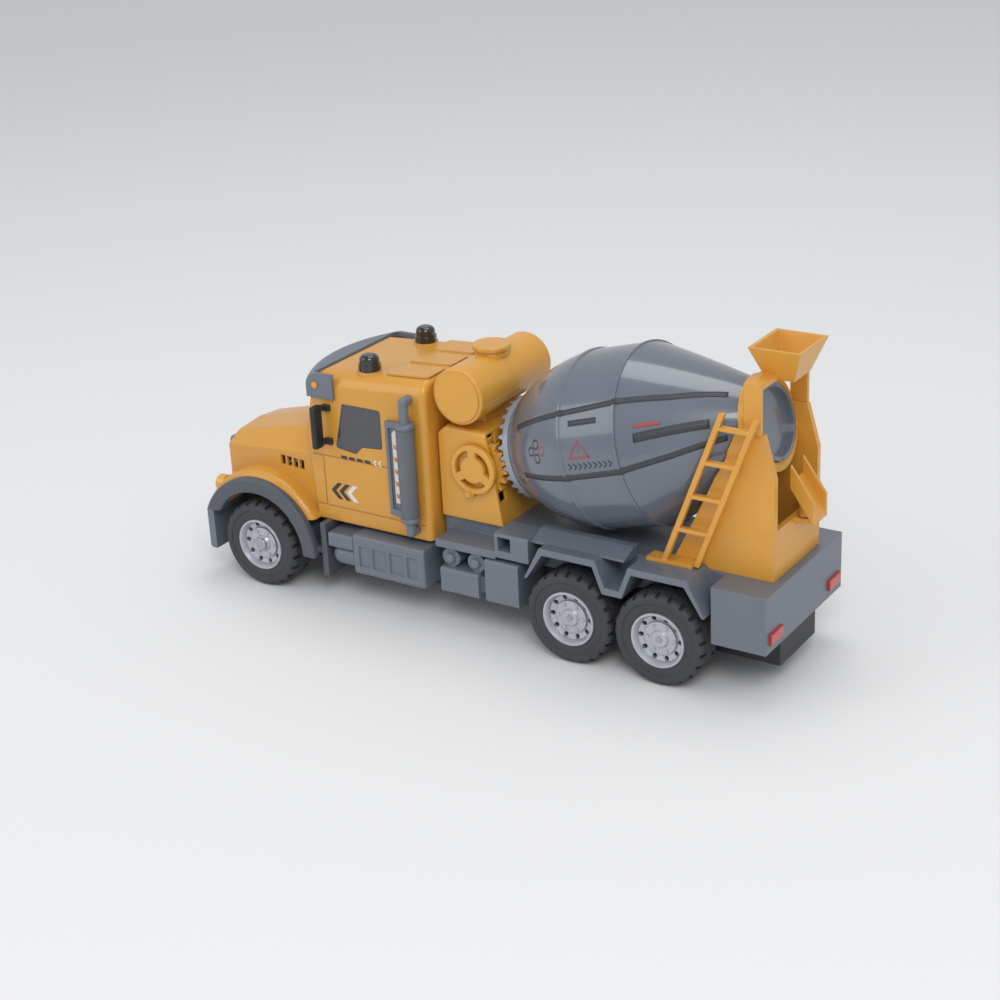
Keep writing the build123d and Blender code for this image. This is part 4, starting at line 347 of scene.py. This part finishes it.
orange_ink = ink("orange_ink", rgba(0.75, 0.24, 0.03))
for side, hand in ((1, "left"), (-1, "right")):

    def on_stack(distance, radius, angle, side=side):
        across = sleeve_x + radius * math.cos(angle)
        outward = sleeve_y + radius * math.sin(angle)
        return Vector((across, side * outward, distance))

    def on_shield(x, z, height, side=side):
        return Vector((x, side * (cab_side + shield_panel + height), z))

    def on_strip(x, z, height, side=side):
        return on_shield(x, z, strip_film + height, side)

    turned(
        f"stack_sleeve_{hand}",
        [
            (sleeve_low_z, sleeve_radius - sleeve_chamfer),
            (sleeve_low_z + 0.0005, sleeve_radius),
            (sleeve_high_z - 0.0005, sleeve_radius),
            (sleeve_high_z, sleeve_radius - sleeve_chamfer),
        ],
        on_stack, sleeve_grey, "chassis",
    )
    for number, band_z in enumerate((sleeve_low_z - 0.0005, sleeve_high_z + 0.0010)):
        turned(
            f"stack_band_{hand}_{number + 1}",
            [
                (band_z - 0.0012, sleeve_radius),
                (band_z - 0.0008, band_radius),
                (band_z + 0.0008, band_radius),
                (band_z + 0.0012, sleeve_radius),
            ],
            on_stack, grey, "chassis",
        )
    printed(
        f"shield_strip_{hand}",
        [[(0.0380, 0.0570), (0.0415, 0.0570), (0.0415, 0.0920), (0.0398, 0.0942), (0.0380, 0.0920)]],
        on_shield, white_ink, "chassis",
    )
    marks = [
        [(0.0386, z), (0.0409, z + 0.0008), (0.0409, z + 0.0030), (0.0386, z + 0.0022)]
        for z in (0.0590 + step * 0.0062 for step in range(5))
    ]
    printed(f"shield_marks_{hand}", marks, on_strip, orange_ink, "chassis", lift=0.00008)

# ---- Step tank treads
# Rows of small round studs moulded along the top and bottom edges of the step tanks, coloured a shade paler
# than the tanks.
stud_grey = moulded("stud_grey", rgba(0.20, 0.225, 0.27), 0.38, rounding=0.00015)
tank_low, tank_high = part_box("step_tanks")
stud_count = 22
stud_radius = 0.00070
stud_drop = 0.0026
stud_inset = 0.003
for side, hand in ((1, "left"), (-1, "right")):
    form = bmesh.new()
    for row_z in (tank_high[2] - stud_drop, tank_low[2] + stud_drop):
        for stud in range(stud_count):
            share = stud / (stud_count - 1)
            x = tank_low[0] + stud_inset + share * (tank_high[0] - tank_low[0] - 2 * stud_inset)
            spot = Matrix.Translation((x, side * tank_high[1], row_z)) @ Matrix.Diagonal((1, 0.6, 1, 1))
            bmesh.ops.create_icosphere(form, subdivisions=2, radius=stud_radius, matrix=spot)
    mesh = bpy.data.meshes.new(f"tread_studs_{hand}")
    form.to_mesh(mesh)
    form.free()
    piece(f"tread_studs_{hand}", mesh, stud_grey, "chassis")

# ---- Wheels
# Soft black PVC tyres pressed over silver-painted rims, held by small plated screws.


def tyre_rubber(name):
    """Matt vinyl with a cloudy near-black tone and a fine grain bump."""
    finish = Finish(name)
    place = finish.node("ShaderNodeTexCoord", output="Object")
    cloud = finish.node("ShaderNodeTexNoise", None, {"Vector": place, "Scale": 70.0, "Detail": 6.0}, "Fac")
    fine = finish.node("ShaderNodeTexNoise", None, {"Vector": place, "Scale": 900.0, "Detail": 3.0}, "Fac")
    soft = finish.node("ShaderNodeBevel", {"samples": 6}, {"Radius": 0.0006}, "Normal")
    bump = finish.node(
        "ShaderNodeBump", None, {"Height": fine, "Strength": 0.25, "Distance": 0.0002, "Normal": soft}
    )
    return finish.surface(
        Base_Color=finish.mix(cloud, rgba(0.030, 0.031, 0.035), rgba(0.062, 0.064, 0.072)),
        Roughness=0.55 + cloud * 0.2,
        Normal=bump,
    )


dress(tyre_rubber("tyre_vinyl"), "front_left_tyre", "front_right_tyre", "middle_tyres", "rear_tyres")
silver = moulded("silver_paint", rgba(0.50, 0.52, 0.56), 0.34, coat=0.2, rounding=0.0004, metal=0.55)
dress(silver, "front_left_rim", "front_right_rim", "middle_rims", "rear_rims")
steel = moulded("plated_steel", rgba(0.45, 0.45, 0.46), 0.30, rounding=0.0002, metal=1.0)
dress(steel, "wheel_screw_left", "wheel_screw_right", "screws", "middle_axle", "rear_axle")
dress(steel, "drive_motor", "steering_motor", "battery_contacts")

# ---- Gears, batteries and board
# Natural acetal gears and rack; the cells wear a printed sleeve; the board is green.
acetal = moulded("acetal", rgba(0.72, 0.71, 0.66), 0.40, rounding=0.0002)
dress(acetal, "axle_gear", "compound_gear", "motor_pinion", "steering_rack", "steering_pinion")
dress(moulded("cell_sleeve", rgba(0.06, 0.20, 0.14), 0.35), "batteries")
dress(moulded("board_green", rgba(0.03, 0.16, 0.06), 0.40), "receiver_board")

# ---- Lamps and beacons
# Black beacons with a glossy dome, amber markers on the visor, clear headlights, red tail lamps.
dress(moulded("beacon_gloss", rgba(0.008, 0.008, 0.009), 0.15, coat=0.8, wear=0.1), "roof_beacons")
dress(moulded("amber_lens", rgba(0.80, 0.30, 0.03), 0.22, coat=0.5), "marker_lamps")
dress(moulded("yellow_lens", rgba(0.72, 0.36, 0.05), 0.20, coat=0.6), "headlights")
dress(moulded("red_lens", rgba(0.50, 0.02, 0.02), 0.20, coat=0.6), "tail_lamps")

# ---- Drum
# Two cones and a belt in glossy grey ABS, welded at raised beads, with the pale crown gear
# ring pressed on the front. It turns about its tilted axis.
drum_grey = moulded("drum_grey", rgba(0.128, 0.148, 0.184), 0.20, coat=0.7, grain=0.10, rounding=0.0005)
dress(drum_grey, "drum_front_cone", "drum_belt", "drum_rear_cone")
ring_grey = moulded("ring_grey", rgba(0.30, 0.33, 0.38), 0.32, coat=0.3, rounding=0.0003)
dress(ring_grey, "crown_gear")
drum_joint = [joint for joint in frame["joints"] if joint["name"] == "drum_spin"][0]
drum_start = Vector(drum_joint["pos_m"])
drum_way = Vector(drum_joint["axis"]).normalized()
drum_up = Vector((0, 1, 0)).cross(drum_way).normalized()
if drum_up.z < 0:
    drum_up = -drum_up
belt_radius = 0.0410
cone_front = (0.01891, 0.02395)
belt_front = 0.05791
belt_back = 0.08791
cone_back = (0.13591, 0.0190)


def arc_height(along, first, middle, last):
    """Height of the circle through three points of a profile."""
    (x1, y1), (x2, y2), (x3, y3) = first, middle, last
    turn = 2 * (x1 * (y2 - y3) + x2 * (y3 - y1) + x3 * (y1 - y2))
    s1, s2, s3 = x1 * x1 + y1 * y1, x2 * x2 + y2 * y2, x3 * x3 + y3 * y3
    centre_x = (s1 * (y2 - y3) + s2 * (y3 - y1) + s3 * (y1 - y2)) / turn
    centre_y = (s1 * (x3 - x2) + s2 * (x1 - x3) + s3 * (x2 - x1)) / turn
    radius = math.hypot(x1 - centre_x, y1 - centre_y)
    return centre_y + math.sqrt(max(radius * radius - (along - centre_x) ** 2, 0.0))


def drum_radius_at(along):
    if along < belt_front:
        length = belt_front - cone_front[0]
        middle = (cone_front[0] + length * 0.46, cone_front[1] + (belt_radius - cone_front[1]) * 0.66)
        return arc_height(along, cone_front, middle, (belt_front, belt_radius))
    if along > belt_back:
        middle = ((belt_back + cone_back[0]) / 2, (belt_radius + cone_back[1]) / 2 + 0.0005)
        return arc_height(along, (belt_back, belt_radius), middle, cone_back)
    return belt_radius


def on_drum(along, degrees, height):
    angle = math.radians(degrees)
    radius = drum_radius_at(along) + 0.00005 + height
    sideways = Vector((0, radius * math.sin(angle), 0))
    return drum_start + drum_way * along + drum_up * (radius * math.cos(angle)) + sideways


bead_half = 0.0007
bead_reach = 0.0016
band_steps = 14


def drum_band(name, line, width, material):
    """A printed line along the drum through (along, degrees) points, as a thin film."""
    points = []
    for (a0, d0), (a1, d1) in zip(line, line[1:]):
        for step in range(band_steps):
            share = step / band_steps
            points.append((a0 + (a1 - a0) * share, d0 + (d1 - d0) * share))
    points.append(line[-1])
    form = bmesh.new()
    rows = []
    for along, degrees in points:
        half = math.degrees(width / 2 / drum_radius_at(along))
        to_front_bead = abs(along - belt_front - bead_half)
        to_back_bead = abs(along - belt_back + bead_half)
        lift = 0.0007 if min(to_front_bead, to_back_bead) < bead_reach else 0.0001
        top = [form.verts.new(on_drum(along, degrees + part * half, lift)) for part in (-1, 0, 1)]
        low = [form.verts.new(on_drum(along, degrees + part * half, -0.0001)) for part in (1, 0, -1)]
        rows.append(top + low)
    for first, second in zip(rows, rows[1:]):
        for k in range(6):
            after = (k + 1) % 6
            form.faces.new((first[k], first[after], second[after], second[k]))
    form.faces.new(rows[0])
    form.faces.new(list(reversed(rows[-1])))
    bmesh.ops.recalc_face_normals(form, faces=form.faces)
    mesh = bpy.data.meshes.new(name)
    form.to_mesh(mesh)
    form.free()
    return piece(name, mesh, material, "drum")


line_ink = ink("line_ink", rgba(0.045, 0.050, 0.058), 0.35)
red_ink = ink("red_ink", rgba(0.42, 0.07, 0.07), 0.35)
upper_line = [(0.0300, 57.5), (0.0560, 56.0), (0.0700, 54.3), (0.0866, 52.2), (0.1092, 46.2), (0.1310, 35.5)]
lower_line = [(0.0310, 95.8), (0.0600, 95.9), (0.0831, 95.1), (0.1079, 92.2), (0.1310, 86.5)]
hatch_rows = 9
hatch_front = 0.0618
hatch_pitch = 0.0026
hatch_reach = 0.0016
hatch_middle = 89.0
hatch_half = 1.8
ring_radius = 0.0019
ring_drum_radius = 0.036
ring_spots = ((0.0440, 73.0), (0.0405, 77.5), (0.0440, 82.5), (0.0475, 77.5))
marks_on_drum = (
    ("line_upper", upper_line, 0.0026, line_ink, "black_plastic"),
    ("line_lower", lower_line, 0.0026, line_ink, "black_plastic"),
    ("sign", [(0.0632, 83.5), (0.0683, 73.5), (0.0734, 83.5), (0.0630, 83.6)], 0.0009, red_ink, "lamp_red"),
    ("sign_bar", [(0.0683, 76.5), (0.0683, 80.5)], 0.0007, red_ink, "lamp_red"),
    ("bar_dark", [(0.0950, 75.5), (0.1250, 69.5)], 0.0040, line_ink, "black_plastic"),
    ("bar_red", [(0.0955, 67.8), (0.1060, 66.2)], 0.0016, red_ink, "lamp_red"),
    ("bar_top", [(0.0640, 62.5), (0.0785, 62.0)], 0.0026, line_ink, "black_plastic"),
)
for turn, tag in ((0, "left"), (180, "right")):
    for name, line, width, shade, slot in marks_on_drum:
        drum_band(f"drum_{name}_{tag}", [(along, d + turn) for along, d in line], width, shade)
    for row in range(hatch_rows):
        start = hatch_front + row * hatch_pitch
        hook = [
            (start, hatch_middle - hatch_half + turn),
            (start + hatch_reach, hatch_middle + turn),
            (start, hatch_middle + hatch_half + turn),
        ]
        drum_band(f"drum_hatch_{tag}_{row + 1}", hook, 0.0007, line_ink)
    for spot, (along, degrees) in enumerate(ring_spots):
        swing = math.degrees(ring_radius / ring_drum_radius)
        rim = [
            (along + ring_radius * math.cos(t), degrees + turn + swing * math.sin(t))
            for t in (k * math.pi / 4 for k in range(9))
        ]
        shade, slot = (red_ink, "lamp_red") if spot == 3 else (line_ink, "black_plastic")
        drum_band(f"drum_ring_{tag}_{spot + 1}", rim, 0.0008, shade)

# ---- Floor, light and camera
# A plain pale floor with large soft lamps, seen from the rear left and a little above.
floor_mesh = bpy.data.meshes.new("floor")
form = bmesh.new()
corners = [form.verts.new((x, y, 0.0)) for x, y in ((-4, -4), (4, -4), (4, 4), (-4, 4))]
form.faces.new(corners)
form.to_mesh(floor_mesh)
form.free()
floor = bpy.data.objects.new("floor", floor_mesh)
bpy.context.collection.objects.link(floor)
paper = Finish("pale_paper")
grain = paper.node("ShaderNodeTexNoise", None, {"Scale": 3.0, "Detail": 2.0}, "Fac")
shade = paper.mix(grain, rgba(0.80, 0.80, 0.80), rgba(0.84, 0.84, 0.84))
floor.data.materials.append(paper.surface(Base_Color=shade, Roughness=0.8 + grain * 0.05))

world = bpy.data.worlds.new("studio")
bpy.context.scene.world = world
world.use_nodes = True
sky = world.node_tree.nodes["Background"]
sky.inputs["Color"].default_value = rgba(0.95, 0.97, 1.0)
sky.inputs["Strength"].default_value = 0.62


def soft_lamp(name, place, target, size, power):
    lamp = bpy.data.lights.new(name, "AREA")
    lamp.shape = "DISK"
    lamp.size = size
    lamp.energy = power
    holder = bpy.data.objects.new(name, lamp)
    bpy.context.collection.objects.link(holder)
    holder.location = place
    holder.rotation_euler = (Vector(target) - Vector(place)).to_track_quat("-Z", "Y").to_euler()


truck_middle = (0, 0, 0.07)
soft_lamp("key", (-0.7, 0.9, 1.1), truck_middle, 0.7, 7.2)
soft_lamp("fill", (0.9, 0.9, 0.7), truck_middle, 0.9, 2.8)
soft_lamp("top", (0.0, -0.3, 1.4), truck_middle, 0.8, 4.2)

camera_data = bpy.data.cameras.new("camera")
camera_data.lens = 70.1
camera_data.sensor_width = 36.0
camera_data.clip_start = 0.01
camera = bpy.data.objects.new("camera", camera_data)
bpy.context.collection.objects.link(camera)
right = Vector((-0.83943, -0.54147, -0.04661))
down = Vector((-0.17679, 0.35315, -0.91871))
ahead = Vector((0.51391, -0.76295, -0.39217))
turn = Matrix((right, -down, -ahead)).transposed().to_4x4()
camera.matrix_world = Matrix.Translation((-0.47021, 0.70692, 0.41549)) @ turn
bpy.context.scene.camera = camera
bpy.context.scene.view_settings.view_transform = "Standard"
